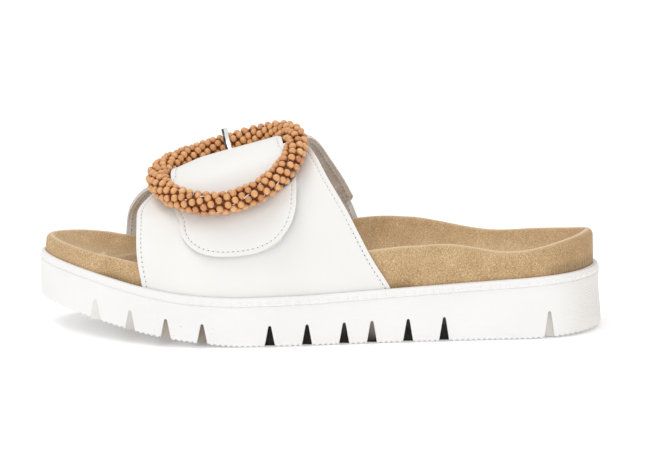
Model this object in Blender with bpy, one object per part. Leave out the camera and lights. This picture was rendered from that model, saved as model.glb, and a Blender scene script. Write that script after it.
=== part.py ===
"""Buckle sandal: a platform slide for the left foot, empty and standing on its sole.

Frame, in metres: toe towards -X, heel towards +X, the outer (lateral) side of the foot
towards -Y, +Z up. The ground is z = 0 and the origin lies under the middle of the sole.
The tables and driving sizes below are in millimetres.
"""
import math

import bmesh
import bpy
import numpy as np
from mathutils import Matrix, Vector

MM = 0.001

# ---------------------------------------------------------------- driving sizes (mm)
LENGTH = 263.0            # sole, toe to heel
BALL_WIDTH = 93.0         # sole, across the ball of the foot
TOE_SPRING = 14.2         # rise of the tread at the tip of the toe
SPRING_START = -35.0      # x where the tread leaves the ground towards the toe
SPRING_POWER = 1.3        # how gently that rise begins
HEEL_LIFT = 1.5           # small bevel under the back of the heel
HEEL_LIFT_START = 94.0    # x where that bevel begins
HEEL_POWER = 1.2          # how gently it begins
GAP = 0.3                 # running gap between neighbouring pieces

TREAD_EDGE = 1.3          # rounding where the tread meets the wall
RECESS_DEPTH = 8.0        # recess that holds the footbed and the ends of the upper
GROOVE_SHARE = 0.43       # depth of a tread groove as a share of the sole's thickness
GROOVE_WIDTH = 4.7        # at the ground
GROOVE_TOP_WIDTH = 1.3    # at its blunt top

LEATHER = 1.6             # upper leather with its lining
TUCK = 6.0                # how far the upper reaches down into the recess
BED_EDGE = 1.0            # chamfer under the footbed
SPINE_ENDS = (-92.0, 98.0)   # the footbed's floor is dished round this stretch
FLOOR_SHARES = (0.93, 0.85, 0.74, 0.58, 0.36)   # rings of the floor, from crest to spine
FLOOR_POWER = 6           # how late the floor turns up into the rim

RING_CENTRE = (-42.9, -10.0, 80.0)
RING_HALF_LENGTH = 33.0   # middle of the tube, along the foot
RING_HALF_WIDTH = 29.0    # middle of the tube, across the foot
RING_TUBE = 5.3           # radius over the beads
RING_FACES = (60, 12)     # round the ring and round its tube
RING_DROOP = 6.6          # the two long arcs bend down round the instep
RING_PITCH = 16.3         # degrees, rising towards the heel
RING_ROLL = 16.2          # degrees, leaning towards the outer side
RING_YAW = 5.5            # degrees, its heel end turned to the inner side
BAR_RADIUS = 1.5
BAR_DROP = 3.3            # bar below the plane of the ring's ends
PRONG_THICK = 0.9
PRONG_WIDTH = 2.0
PRONG_AT = 2.2            # place of the prong along the bar
PRONG_LEAN = 0.035        # its lean towards the heel per mm across
SLOT_WIDTH = 3.8          # slot in the strap for the prong
SLOT_ENDS = (10.0, 17.5)  # from the bar, across the ring

# Outline of the sole: share of LENGTH from the toe, share of BALL_WIDTH from the middle
# (negative on the outer side).
OUTLINE = (
    # place                 along   across
    ("toe tip",             0.000,  0.094),
    ("outer toe corner",    0.062, -0.212),
    ("outer toes",          0.125, -0.338),
    ("little toe",          0.200, -0.453),
    ("outer ball",          0.347, -0.500),
    ("outer waist",         0.584, -0.415),
    ("outer heel",          0.826, -0.335),
    ("outer heel corner",   0.948, -0.243),
    ("heel back",           1.000,  0.015),
    ("inner heel corner",   0.952,  0.245),
    ("inner heel",          0.837,  0.372),
    ("inner waist",         0.615,  0.356),
    ("inner ball",          0.308,  0.495),
    ("big toe",             0.136,  0.425),
    ("inner toe corner",    0.036,  0.275),
)

# The moulded welt over the sole's wall: a fine groove, then a shoulder up to the ledge.
WELT = (
    # set_in   below_top
    (0.00,     3.9),
    (0.45,     3.6),
    (0.60,     3.3),
    (1.00,     0.5),
    (1.40,     0.0),
)

# Side of the footbed from the sole's ledge to the crest of its rim: set in from its wall,
# more of the same beside the upper, height as a share of the rim's, and drop below that.
BED_SIDE = (
    # set_in   beside_upper   rim_share   drop
    (0.00,     0.0,           0.20,       0.0),
    (0.50,     0.6,           0.75,       0.0),
    (1.45,     0.0,           1.00,       0.9),
    (2.90,     0.0,           1.00,       0.0),
)

# Heights along the foot: thickness of the sole, the footbed's rim over the sole on the
# outer and inner side, the footbed's floor over the sole, and the width of the ledge from
# the sole's wall to the recess of the footbed.
HEIGHTS = (
    # x       sole   rim_outer  rim_inner  floor  ledge
    (-131.5,  21.1,   7.6,       7.6,       4.8,   2.2),
    (-115.0,  21.5,   7.9,       8.0,       4.0,   2.3),
    (-100.0,  21.3,   8.5,       8.2,       3.4,   2.6),
    (-82.0,   21.1,   9.4,       8.5,       3.4,   2.9),
    (-64.0,   21.1,   9.7,       9.2,       3.6,   3.0),
    (-38.0,   22.2,   9.9,      10.2,       4.2,   3.0),
    (-10.0,   22.8,  13.5,      15.9,       5.2,   3.0),
    (20.0,    24.1,  17.2,      22.3,       6.2,   3.0),
    (42.0,    25.3,  18.1,      21.4,       5.6,   3.0),
    (62.0,    26.4,  17.2,      16.6,       4.2,   3.0),
    (84.0,    27.6,  12.4,      12.2,       2.8,   3.1),
    (98.0,    28.3,  12.6,      12.4,       2.4,   3.1),
    (114.0,   28.7,  15.0,      13.3,       3.2,   3.1),
    (131.5,   28.9,  16.8,      16.0,       4.8,   3.1),
)

# Cross-sections of the last (inside of the upper): height of the ridge over the ground,
# where the ridge lies across the foot, and squareness on the outer and inner side (2 is
# a plain ellipse).
LAST = (
    # x       ridge_z  ridge_y  outer  inner
    (-100.0,   54.7,    2.0,    2.30,  2.20),
    (-82.0,    61.2,    2.0,    2.10,  2.20),
    (-64.0,    67.2,    2.0,    1.88,  2.10),
    (-43.0,    73.5,    2.0,    1.90,  2.05),
    (-20.0,    79.8,    3.0,    1.92,  2.05),
    (0.0,      87.2,    4.0,    2.02,  2.10),
    (20.0,     96.2,    5.0,    2.15,  2.15),
    (38.0,    105.2,    5.0,    2.20,  2.20),
)

# Edges of the lateral panel, which goes over the instep and ends as the underlap inside
# the medial panel. The angle runs round the last: 0 outer rim, 90 ridge, 180 inner rim.
PANEL_EDGES = (
    # angle   front_x   rear_x
    (0.0,     -80.5,     32.0),
    (7.0,     -81.5,     25.5),
    (14.0,    -82.4,     20.7),
    (30.0,    -83.4,     12.2),
    (48.0,    -83.7,      3.8),
    (62.0,    -83.2,     -0.8),
    (76.0,    -78.6,     -4.6),
    (90.0,    -74.0,     -7.2),
    (100.0,   -72.0,     -5.8),
    (108.0,   -71.0,     -2.6),
    (130.0,   -69.5,      4.4),
    (144.0,   -69.1,     10.4),
    (156.0,   -69.0,     16.0),
)

# Edges of the medial panel, which narrows into the strap, and its height over the
# lateral panel. Below FLAP_START the strap is the rounded flap.
STRAP_EDGES = (
    # angle   front_x   rear_x   lift
    (43.0,    -63.6,    -10.8,    0.4),
    (52.0,    -66.4,    -11.2,    1.2),
    (62.0,    -67.4,    -14.2,    4.3),
    (75.0,    -68.7,    -17.3,    6.8),
    (86.0,    -68.3,    -18.5,    6.8),
    (96.0,    -70.8,    -19.4,    4.8),
    (106.0,   -76.9,    -18.2,    2.0),
    (118.0,   -84.9,    -13.4,    0.4),
    (132.0,   -90.0,     -5.0,   -0.7),
    (146.0,   -92.4,      7.0,    0.4),
    (160.0,   -93.6,     15.5,    0.4),
    (180.0,   -94.0,     23.5,    0.4),
)
FLAP_START = 43.0
FLAP_END = 20.6
FLAP_ROUND = 2.5          # power of the rounded end
FLAP_SLANT = 0.5          # mm the end leans towards the heel per degree
FLAP_END_LIFT = 1.7       # the flap stands this far off the panel at its end
CORNER_DROOP = 1.4        # mm the strap bends down along its front edge, inside the ring
UNDERLAP_SEAT = (173.0, 157.0)   # the medial panel steps out over the underlap here
UNDERLAP_CORNER = 2.5     # rounding of the underlap's corners
UNDERLAP_CORNER_ANGLE = 5.0

# Shaft of the prong after its eye round the bar: across the ring from the bar, and up from
# the ring's plane. It comes up through the strap and rests on the far side of the ring.
PRONG_SHAFT = (
    # across   up
    (3.5,     -1.20),
    (7.5,     -2.05),
    (10.5,    -2.45),
    (14.5,    -0.40),
    (18.5,     1.10),
    (22.5,     0.95),
    (28.0,    -0.45),
    (33.0,    -0.60),
    (34.6,    -1.10),
    (35.3,    -2.20),
)

# Tread grooves across the sole, in groups.
GROOVES = (
    # first_x   count   pitch
    (-102.6,    4,      16.5),
    (-22.7,     3,      16.8),
    (23.5,      3,      16.5),
    (105.0,     1,      0.0),
)

STATIONS = 41             # pairs of points along the sole
LAST_STEPS = 26           # steps round the lateral panel
STRAP_STEPS = 42          # steps along the strap
PANEL_COLUMNS = 11
STRAP_COLUMNS = 10


# ---------------------------------------------------------------- helpers
def clear_scene():
    for obj in list(bpy.data.objects):
        bpy.data.objects.remove(obj, do_unlink=True)


def material(name, colour, roughness, metallic=0.0):
    made = bpy.data.materials.new(name)
    made.use_nodes = True
    shader = made.node_tree.nodes["Principled BSDF"]
    shader.inputs["Base Color"].default_value = (*colour, 1.0)
    shader.inputs["Roughness"].default_value = roughness
    shader.inputs["Metallic"].default_value = metallic
    return made


def spline(knots, values):
    """A natural cubic curve through the values, held flat past both ends."""
    knots = np.asarray(knots, float)
    values = np.asarray(values, float)
    count = len(knots)
    step = np.diff(knots)
    system = np.eye(count)
    right = np.zeros(count)
    for i in range(1, count - 1):
        system[i, i - 1:i + 2] = step[i - 1], 2 * (step[i - 1] + step[i]), step[i]
        right[i] = 3 * ((values[i + 1] - values[i]) / step[i]
                        - (values[i] - values[i - 1]) / step[i - 1])
    curve = np.linalg.solve(system, right)

    def at(x):
        x = np.clip(x, knots[0], knots[-1])
        i = np.clip(np.searchsorted(knots, x) - 1, 0, count - 2)
        run = x - knots[i]
        slope = (values[i + 1] - values[i]) / step[i] - step[i] * (2 * curve[i] + curve[i + 1]) / 3
        cube = (curve[i + 1] - curve[i]) / (3 * step[i])
        return values[i] + run * (slope + run * (curve[i] + run * cube))
    return at


def column_splines(table):
    """One curve for each column of a table, over its first column."""
    columns = list(zip(*table))
    return [spline(columns[0], values) for values in columns[1:]]


def smooth_step(start, end, x):
    """0 at the start, 1 at the end, with level ends; it may run either way."""
    t = np.clip((np.asarray(x, float) - start) / (end - start), 0.0, 1.0)
    return t * t * (3.0 - 2.0 * t)


def add_object(name, bm, look, smooth_angle=40.0):
    bmesh.ops.recalc_face_normals(bm, faces=bm.faces)
    mesh = bpy.data.meshes.new(name)
    bm.to_mesh(mesh)
    bm.free()
    mesh.materials.append(look)
    if smooth_angle > 0.0:
        mesh.shade_smooth()
        mesh.set_sharp_from_angle(angle=math.radians(smooth_angle))
    obj = bpy.data.objects.new(name, mesh)
    bpy.context.scene.collection.objects.link(obj)
    return obj


def as_tool(obj):
    """Mark an object that only shapes another one."""
    obj.hide_render = True
    obj.display_type = "WIRE"
    return obj


def boolean(obj, tool, operation):
    cut = obj.modifiers.new(operation.title(), "BOOLEAN")
    cut.operation = operation
    cut.solver = "EXACT"
    cut.object = tool


# ---------------------------------------------------------------- outline and heights
def outline_points(count=720):
    """The sole's outline as a closed smooth curve, centred and scaled to size."""
    points = np.array([(along * LENGTH, across * BALL_WIDTH) for _, along, across in OUTLINE])
    ring = np.vstack([points, points, points, points[:1]])
    run = np.concatenate([[0], np.cumsum(np.hypot(*np.diff(ring, axis=0).T))])
    start, end = run[len(points)], run[2 * len(points)]
    at = np.linspace(start, end, count, endpoint=False)
    curve = np.column_stack([spline(run, ring[:, 0])(at), spline(run, ring[:, 1])(at)])
    low, high = curve.min(axis=0), curve.max(axis=0)
    return (curve - (low + high) / 2) * (LENGTH, BALL_WIDTH) / (high - low)


CURVE = outline_points()


def set_in(curve, distance):
    """The closed curve moved inwards by a distance, or by one for each point."""
    forward = np.roll(curve, -1, axis=0) - np.roll(curve, 1, axis=0)
    normal = np.column_stack([-forward[:, 1], forward[:, 0]])
    normal /= np.linalg.norm(normal, axis=1)[:, None]
    middle = curve.mean(axis=0)
    if ((middle - curve) * normal).sum() < 0:
        normal = -normal
    return curve + normal * np.reshape(distance, (-1, 1))


def side_of(curve, x, outer):
    """y of a closed curve at x, on its outer or inner side."""
    toe, heel = curve[:, 0].argmin(), curve[:, 0].argmax()
    forward = np.roll(curve, -toe, axis=0)
    split = (heel - toe) % len(curve)
    one, two = forward[:split + 1], np.vstack([forward[split:], forward[:1]])[::-1]
    if (one[:, 1].mean() < two[:, 1].mean()) != outer:
        one = two
    return np.interp(x, one[:, 0], one[:, 1])


def paired_ring(distance):
    """Points of the outline set in by a distance, paired across the foot.

    They run down the outer side from toe to heel and back up the inner side.
    """
    curve = set_in(CURVE, distance)
    low, high = curve[:, 0].min(), curve[:, 0].max()
    turn = np.linspace(0.0, math.pi, STATIONS)
    x = (low + high) / 2 - (high - low) / 2 * np.cos(turn)
    outer = np.column_stack([x, side_of(curve, x, True)])
    inner = np.column_stack([x, side_of(curve, x, False)])
    tips = (outer[0] + inner[0]) / 2, (outer[-1] + inner[-1]) / 2
    outer[0], outer[-1] = tips
    return np.vstack([outer, inner[-2:0:-1]])


sole_thickness, rim_outer, rim_inner, bed_floor, ledge = column_splines(HEIGHTS)


def tread(x):
    """Height of the underside over the ground."""
    toe = np.clip((SPRING_START - x) / (SPRING_START + LENGTH / 2), 0.0, None)
    heel = np.clip((x - HEEL_LIFT_START) / (LENGTH / 2 - HEEL_LIFT_START), 0.0, None)
    return TOE_SPRING * toe ** SPRING_POWER + HEEL_LIFT * heel ** HEEL_POWER


def sole_top(x):
    return tread(x) + sole_thickness(x)


def rim_height(ring):
    """Height of the footbed's rim over the sole, blended from side to side."""
    middle = (side_of(CURVE, ring[:, 0], True) + side_of(CURVE, ring[:, 0], False)) / 2
    inner_share = smooth_step(-12.0, 12.0, ring[:, 1] - middle)
    x = ring[:, 0]
    return rim_outer(x) * (1 - inner_share) + rim_inner(x) * inner_share


def level(ring, z):
    return np.column_stack([ring, np.broadcast_to(z, len(ring))])


def loft(rings):
    """A closed body through paired rings, closed across the first and the last one."""
    bm = bmesh.new()
    count = len(rings[0])
    verts = [[bm.verts.new(Vector(point) * MM) for point in ring] for ring in rings]
    for lower, upper in zip(verts, verts[1:]):
        for i in range(count):
            j = (i + 1) % count
            bm.faces.new((lower[i], lower[j], upper[j], upper[i]))
    for ring in (verts[0], verts[-1]):
        for i in range(STATIONS - 1):
            corners = [ring[i], ring[i + 1], ring[-(i + 1) % count], ring[-i % count]]
            bm.faces.new(list(dict.fromkeys(corners)))
    return bm


# ---------------------------------------------------------------- sole
def sole_body(look):
    wall = paired_ring(0.0)
    x = wall[:, 0]
    rings = [level(paired_ring(TREAD_EDGE), tread(x)), level(wall, tread(x) + TREAD_EDGE)]
    for distance, below in WELT:
        rings.append(level(paired_ring(distance), sole_top(x) - below))
    recess = paired_ring(ledge(CURVE[:, 0]))
    rings.append(level(recess, sole_top(x)))
    rings.append(level(recess, sole_top(x) - RECESS_DEPTH))
    return add_object("sole", loft(rings), look, 0.0)


def groove_cutters():
    """One wire object of blunt V-shaped prisms that run right across the sole."""
    bm = bmesh.new()
    reach = BALL_WIDTH * 0.7
    below = 4.0
    blunt = GROOVE_TOP_WIDTH / 2
    for first, count, pitch in GROOVES:
        for k in range(count):
            x = first + k * pitch
            ground = float(tread(x))
            top = ground + GROOVE_SHARE * float(sole_thickness(x))
            spread = (GROOVE_WIDTH - GROOVE_TOP_WIDTH) * below / (top - ground)
            profile = (
                (-(GROOVE_WIDTH + spread) / 2, ground - below),
                ((GROOVE_WIDTH + spread) / 2, ground - below),
                (blunt, top - blunt),
                (blunt * 0.4, top),
                (-blunt * 0.4, top),
                (-blunt, top - blunt),
            )
            corners = [bm.verts.new(Vector((x + dx, -reach, z)) * MM) for dx, z in profile]
            face = bm.faces.new(corners)
            grown = bmesh.ops.extrude_face_region(bm, geom=[face])["geom"]
            moved = [part for part in grown if isinstance(part, bmesh.types.BMVert)]
            bmesh.ops.translate(bm, verts=moved, vec=Vector((0.0, 2 * reach * MM, 0.0)))
    return as_tool(add_object("groove_cutter", bm, bpy.data.materials["white_foam"]))


# ---------------------------------------------------------------- footbed
def upper_share(x):
    """1 where the upper goes down beside the footbed, 0 at the toe and the heel."""
    return smooth_step(-107.0, -100.0, x) * smooth_step(46.0, 39.0, x)


def footbed_body(look):
    share = upper_share(CURVE[:, 0])
    room = ledge(CURVE[:, 0]) + GAP + share * (LEATHER + 1.7 * GAP)
    wall = paired_ring(room)
    x = wall[:, 0]
    base = sole_top(x) - RECESS_DEPTH + GAP
    rim = rim_height(wall)
    rings = [level(paired_ring(room + BED_EDGE), base), level(wall, base + BED_EDGE)]
    for distance, beside_upper, rim_share, drop in BED_SIDE:
        ring = paired_ring(room + distance + beside_upper * share)
        rings.append(level(ring, sole_top(x) + rim_share * rim - drop))
    crest = paired_ring(room + BED_SIDE[-1][0])
    middle = (side_of(CURVE, crest[:, 0], True) + side_of(CURVE, crest[:, 0], False)) / 2
    spine = np.column_stack([np.clip(crest[:, 0], *SPINE_ENDS), middle])
    for out in FLOOR_SHARES:
        ring = spine + (crest - spine) * out
        wall_rise = (sole_top(x) + rim) - (sole_top(ring[:, 0]) + bed_floor(ring[:, 0]))
        floor = sole_top(ring[:, 0]) + bed_floor(ring[:, 0])
        rings.append(level(ring, floor + wall_rise * out ** FLOOR_POWER))
    return add_object("footbed", loft(rings), look)


# ---------------------------------------------------------------- ring geometry
def ring_axes():
    """Along the bar, across it in the ring's plane, and up from that plane."""
    pitch = Matrix.Rotation(math.radians(-RING_PITCH), 3, "Y")
    roll = Matrix.Rotation(math.radians(RING_ROLL), 3, "X")
    yaw = Matrix.Rotation(math.radians(RING_YAW), 3, "Z")
    turn = yaw @ pitch @ roll
    return turn @ Vector((1, 0, 0)), turn @ Vector((0, 1, 0)), turn @ Vector((0, 0, 1))


def ring_point(along, across, up):
    """A point given in the ring's own directions, in millimetres."""
    length_way, width_way, up_way = ring_axes()
    return Vector(RING_CENTRE) + along * length_way + across * width_way + up * up_way


def ring_middle(turn):
    """The middle of the tube at a turn round the ring."""
    along = RING_HALF_LENGTH * math.cos(turn)
    across = RING_HALF_WIDTH * math.sin(turn)
    return ring_point(along, across, -RING_DROOP * math.sin(turn) ** 2)


RING_MIDDLES = [ring_middle(math.radians(turn)) for turn in range(0, 360, 5)]


# ---------------------------------------------------------------- upper
ridge_height, ridge_place, square_outer, square_inner = column_splines(LAST)
SEAT_CURVE = set_in(CURVE, ledge(CURVE[:, 0]) + GAP + LEATHER)


def last_point(x, angle, out):
    """A point on the last at x, at an angle round it, moved outwards by out."""
    turn = math.radians(min(max(angle, 0.0), 180.0))
    outer = angle < 90.0
    foot = sole_top(x)
    middle = ridge_place(x)
    half = abs(side_of(SEAT_CURVE, x, outer) - middle)
    power = 2.0 / (square_outer(x) if outer else square_inner(x))
    y = (half + out) * abs(math.cos(turn)) ** power
    z = foot + (ridge_height(x) - foot + out) * max(math.sin(turn), 0.0) ** power
    past_rim = max(-angle, angle - 180.0, 0.0)
    return Vector((x, middle + (-y if outer else y), z - past_rim)) * MM


def leather_grid(name, look, columns, rows, place):
    """A sheet of columns by rows, each corner placed by a function of its two shares."""
    bm = bmesh.new()
    bmesh.ops.create_grid(bm, x_segments=columns, y_segments=rows, size=0.5)
    for vert in bm.verts:
        vert.co = place(vert.co.x + 0.5, vert.co.y + 0.5)
    return add_object(name, bm, look)


def thicken(obj):
    """Give a sheet the thickness of the leather, outwards from the last."""
    wall = obj.modifiers.new("Leather", "SOLIDIFY")
    wall.thickness = LEATHER * MM
    wall.offset = 1.0
    wall.use_even_offset = True


def lateral_panel(look):
    front, rear = column_splines(PANEL_EDGES)
    first, last = -TUCK, PANEL_EDGES[-1][0]

    def place(u, v):
        angle = first + (last - first) * v
        near_end = max(angle - (last - UNDERLAP_CORNER_ANGLE), 0.0) / UNDERLAP_CORNER_ANGLE
        narrowing = UNDERLAP_CORNER * (1 - math.sqrt(max(1 - near_end ** 2, 0.0)))
        low, high = front(angle) + narrowing, rear(angle) - narrowing
        return last_point(low + (high - low) * u, angle, 0.0)
    return leather_grid("upper", look, PANEL_COLUMNS, LAST_STEPS, place)


def strap_out(angle, lift):
    """How far the strap's inside lies outside the last, before the ring presses on it."""
    over_underlap = float(smooth_step(*UNDERLAP_SEAT, angle))
    flap = min(max((FLAP_START - angle) / (FLAP_START - FLAP_END), 0.0), 1.0)
    return (LEATHER + lift + (FLAP_END_LIFT - lift) * flap) * over_underlap


def under_ring(x, angle, out):
    """The same distance where the ring's tube lies on the strap: pressed in below it."""
    clear = RING_TUBE + GAP + 0.1
    for _ in range(8):
        faces = [last_point(x, angle, out + side) / MM for side in (0.0, LEATHER)]
        nearest = min((middle - face).length for middle in RING_MIDDLES for face in faces)
        out -= max(clear - nearest, 0.0)
    return out


def medial_strap(look):
    front, rear, lift = column_splines(STRAP_EDGES)
    widest = (front(FLAP_START), rear(FLAP_START))
    half = (widest[1] - widest[0]) / 2
    total = 180.0 + TUCK - FLAP_END

    def place(u, v):
        angle = FLAP_END + total * v ** 1.25
        if angle >= FLAP_START:
            low, high = front(angle), rear(angle)
        else:
            share = (FLAP_START - angle) / (FLAP_START - FLAP_END)
            width = half * max(1 - share ** FLAP_ROUND, 0.0004) ** (1 / FLAP_ROUND)
            middle = sum(widest) / 2 + FLAP_SLANT * share
            low, high = middle - width, middle + width
        x = low + (high - low) * u
        beyond_bar = smooth_step(76.0, 88.0, angle) * smooth_step(120.0, 100.0, angle)
        droop = CORNER_DROOP * float(smooth_step(0.3, 0.0, u) * beyond_bar)
        out = strap_out(angle, float(lift(angle)) - droop)
        return last_point(x, angle, under_ring(x, angle, out))
    return leather_grid("strap", look, STRAP_COLUMNS, STRAP_STEPS, place)


# ---------------------------------------------------------------- buckle
def ring_body(name, look, radius):
    """The closed tube of the oval ring, over its beads."""
    bm = bmesh.new()
    around, sides = RING_FACES
    loops = []
    for i in range(around):
        turn = 2 * math.pi * i / around
        middle = ring_middle(turn)
        forward = (ring_middle(turn + 0.01) - ring_middle(turn - 0.01)).normalized()
        side = forward.cross(ring_axes()[2]).normalized()
        over = side.cross(forward)
        loop = []
        for k in range(sides):
            angle = 2 * math.pi * k / sides
            offset = side * math.cos(angle) + over * math.sin(angle)
            loop.append(bm.verts.new((middle + offset * radius) * MM))
        loops.append(loop)
    for i, loop in enumerate(loops):
        following = loops[(i + 1) % around]
        for k in range(sides):
            m = (k + 1) % sides
            bm.faces.new((loop[k], loop[m], following[m], following[k]))
    return add_object(name, bm, look)


def bar_body(look):
    length_way = ring_axes()[0]
    half = RING_HALF_LENGTH - 1.0
    bm = bmesh.new()
    turn = length_way.to_track_quat("Z", "Y").to_matrix().to_4x4()
    place = Matrix.Translation(ring_point(0, 0, -BAR_DROP) * MM) @ turn
    bmesh.ops.create_cone(bm, cap_ends=True, segments=12, radius1=BAR_RADIUS * MM,
                          radius2=BAR_RADIUS * MM, depth=2 * half * MM, matrix=place)
    return add_object("bar", bm, look)


def prong_path():
    """The prong's middle line: an open eye round the bar, then the shaft from its top."""
    eye = BAR_RADIUS + GAP + PRONG_THICK / 2
    turns = [math.radians(turn) for turn in range(85, 361, 25)]
    path = [(eye * math.sin(turn), eye * math.cos(turn) - BAR_DROP) for turn in turns]
    return path + list(PRONG_SHAFT)


def prong_body(look):
    path = [Vector(point) for point in prong_path()]
    bm = bmesh.new()
    loops = []
    for i, point in enumerate(path):
        forward = (path[min(i + 1, len(path) - 1)] - path[max(i - 1, 0)]).normalized()
        up = Vector((-forward.y, forward.x)) * PRONG_THICK / 2
        half = PRONG_WIDTH / 2 * (0.7 if i == len(path) - 1 else 1.0)
        corners = ((-half, up), (half, up), (half, -up), (-half, -up))
        middle = PRONG_AT + PRONG_LEAN * point.x
        loops.append([bm.verts.new(ring_point(middle + along, *(point + shift)) * MM)
                      for along, shift in corners])
    for loop, following in zip(loops, loops[1:]):
        for k in range(4):
            m = (k + 1) % 4
            bm.faces.new((loop[k], loop[m], following[m], following[k]))
    bm.faces.new(loops[0])
    bm.faces.new(loops[-1])
    return add_object("buckle_prong", bm, look, 25.0)


def slot_cutter():
    """A block that opens the slot in the strap where the prong comes through."""
    bm = bmesh.new()
    bmesh.ops.create_cube(bm, size=1.0)
    start, end = SLOT_ENDS
    for vert in bm.verts:
        along = PRONG_AT + vert.co.x * SLOT_WIDTH
        across = (start + end) / 2 + vert.co.y * (end - start)
        vert.co = ring_point(along, across, 1.0 + vert.co.z * 9.0) * MM
    return as_tool(add_object("slot_cutter", bm, bpy.data.materials["white_leather"]))


def build():
    clear_scene()
    foam = material("white_foam", (0.86, 0.86, 0.85), 0.6)
    suede = material("tan_suede", (0.50, 0.33, 0.16), 0.95)
    leather = material("white_leather", (0.88, 0.87, 0.84), 0.5)
    beads = material("bead_tan", (0.60, 0.27, 0.09), 0.55)
    steel = material("polished_steel", (0.80, 0.80, 0.80), 0.15, 1.0)

    sole = sole_body(foam)
    boolean(sole, groove_cutters(), "DIFFERENCE")
    footbed_body(suede)
    upper = lateral_panel(leather)
    thicken(upper)
    strap = as_tool(medial_strap(leather))
    thicken(strap)
    boolean(strap, slot_cutter(), "DIFFERENCE")
    boolean(upper, strap, "UNION")
    boolean(upper, as_tool(ring_body("ring_bed", beads, RING_TUBE + GAP)), "DIFFERENCE")
    ring = ring_body("buckle_ring", beads, RING_TUBE)
    boolean(ring, as_tool(bar_body(steel)), "UNION")
    prong_body(steel)


build()
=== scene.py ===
# %% [markdown]
# # Buckle sandal
# A platform slide for the left foot: a white foam sole, a suede footbed, two white leather
# panels that cross over the instep, and a strap through an oval ring covered in beads.
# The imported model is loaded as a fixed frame. Each finished piece is then built in the
# same place, from the same driving sizes, at the resolution that a close view needs.
# Lengths in the tables are millimetres, and MM turns them into Blender's metres.
# Toe is -X, heel +X, the outer side of the foot -Y, and +Z is up.

# %% Load the frame
import math
import random

import bmesh
import bpy
import numpy as np
from mathutils import Matrix, Vector
from mathutils.bvhtree import BVHTree
from mathutils.kdtree import KDTree


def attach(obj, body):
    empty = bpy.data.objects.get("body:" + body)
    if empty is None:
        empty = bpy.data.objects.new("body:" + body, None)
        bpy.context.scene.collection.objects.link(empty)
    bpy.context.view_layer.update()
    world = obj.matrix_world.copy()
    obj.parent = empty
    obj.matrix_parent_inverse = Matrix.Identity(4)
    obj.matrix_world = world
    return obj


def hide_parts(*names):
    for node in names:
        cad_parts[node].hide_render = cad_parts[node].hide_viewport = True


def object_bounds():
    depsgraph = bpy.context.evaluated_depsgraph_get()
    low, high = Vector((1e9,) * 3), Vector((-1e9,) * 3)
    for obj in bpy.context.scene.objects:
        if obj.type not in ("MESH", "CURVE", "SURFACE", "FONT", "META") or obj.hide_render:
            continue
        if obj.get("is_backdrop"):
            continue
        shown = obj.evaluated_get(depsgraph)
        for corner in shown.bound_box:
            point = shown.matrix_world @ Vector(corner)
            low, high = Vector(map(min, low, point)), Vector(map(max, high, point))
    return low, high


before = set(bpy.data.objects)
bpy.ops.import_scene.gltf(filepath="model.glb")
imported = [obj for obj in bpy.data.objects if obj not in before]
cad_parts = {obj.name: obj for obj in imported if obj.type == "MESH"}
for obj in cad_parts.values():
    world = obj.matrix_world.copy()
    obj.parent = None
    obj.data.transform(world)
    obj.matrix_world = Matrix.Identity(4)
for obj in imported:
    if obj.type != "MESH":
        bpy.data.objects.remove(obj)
CAD_BOX = [list(corner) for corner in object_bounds()]
MM = 0.001
random.seed(7)
print("nodes:", sorted(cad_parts))

# %% [markdown]
# ## Studio
# The shoe is seen from its outer side, a little above the ground. White light comes from
# the whole sky, and three wide, soft suns give it direction, like the soft boxes round a
# table: one over the toe, one behind the heel and one low in front. So the ring and the flap
# shade the leather softly on both sides. A fourth, small and faint, gives the beads their
# highlights. A sun lights a wide floor evenly, where a lamp close by would leave its far end
# grey. A long lens keeps the lines of the platform straight.

# %% Camera and lights
AIM = Vector((0.0056, 0.0, 0.0466))
DISTANCE = 1.1
ELEVATION = math.radians(11.0)
VIEW_WIDTH = 0.3099
WHITE = (1.0, 1.0, 1.0, 1.0)


def in_scene(name, data):
    """A new object for some data, linked to the scene."""
    made = bpy.data.objects.new(name, data)
    bpy.context.scene.collection.objects.link(made)
    return made


look = Vector((0.0, math.cos(ELEVATION), -math.sin(ELEVATION)))
camera_data = bpy.data.cameras.new("camera")
camera_data.sensor_width = 36.0
camera_data.lens = camera_data.sensor_width * DISTANCE / VIEW_WIDTH
camera_data.clip_start = 0.01
camera = in_scene("camera", camera_data)
camera.location = AIM - look * DISTANCE
camera.rotation_euler = look.to_track_quat("-Z", "Y").to_euler()
bpy.context.scene.camera = camera
bpy.context.scene.view_settings.view_transform = "Standard"


def soft_sun(name, place, strength, spread_degrees):
    """A sun that shines from a place towards the shoe; a wide one has soft shadows."""
    data = bpy.data.lights.new(name, "SUN")
    data.energy = strength
    data.angle = math.radians(spread_degrees)
    light = in_scene(name, data)
    light.location = place
    light.rotation_euler = (-Vector(place)).to_track_quat("-Z", "Y").to_euler()


soft_sun("over_toe", (-0.42, -0.08, 1.0), 0.72, 30.0)
soft_sun("behind_heel", (0.50, 0.45, 1.0), 0.42, 52.0)
soft_sun("glint", (-0.10, -0.70, 1.0), 0.10, 7.0)
soft_sun("front", (0.0, -1.0, 0.38), 0.515, 60.0)

world = bpy.data.worlds.new("studio")
world.use_nodes = True
sky = world.node_tree.nodes["Background"]
sky.inputs["Color"].default_value = WHITE
sky.inputs["Strength"].default_value = 0.64
bpy.context.scene.world = world
print("lens:", round(camera_data.lens, 1), "mm")

# %% [markdown]
# ## Helpers for meshes
# Nearly every piece is one of three things: a loop that is extruded ring by ring, a flat
# grid that is bent into place, or one small round shape repeated along a line. These
# helpers do that with Blender's own operators, and then move the vertices.

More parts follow.
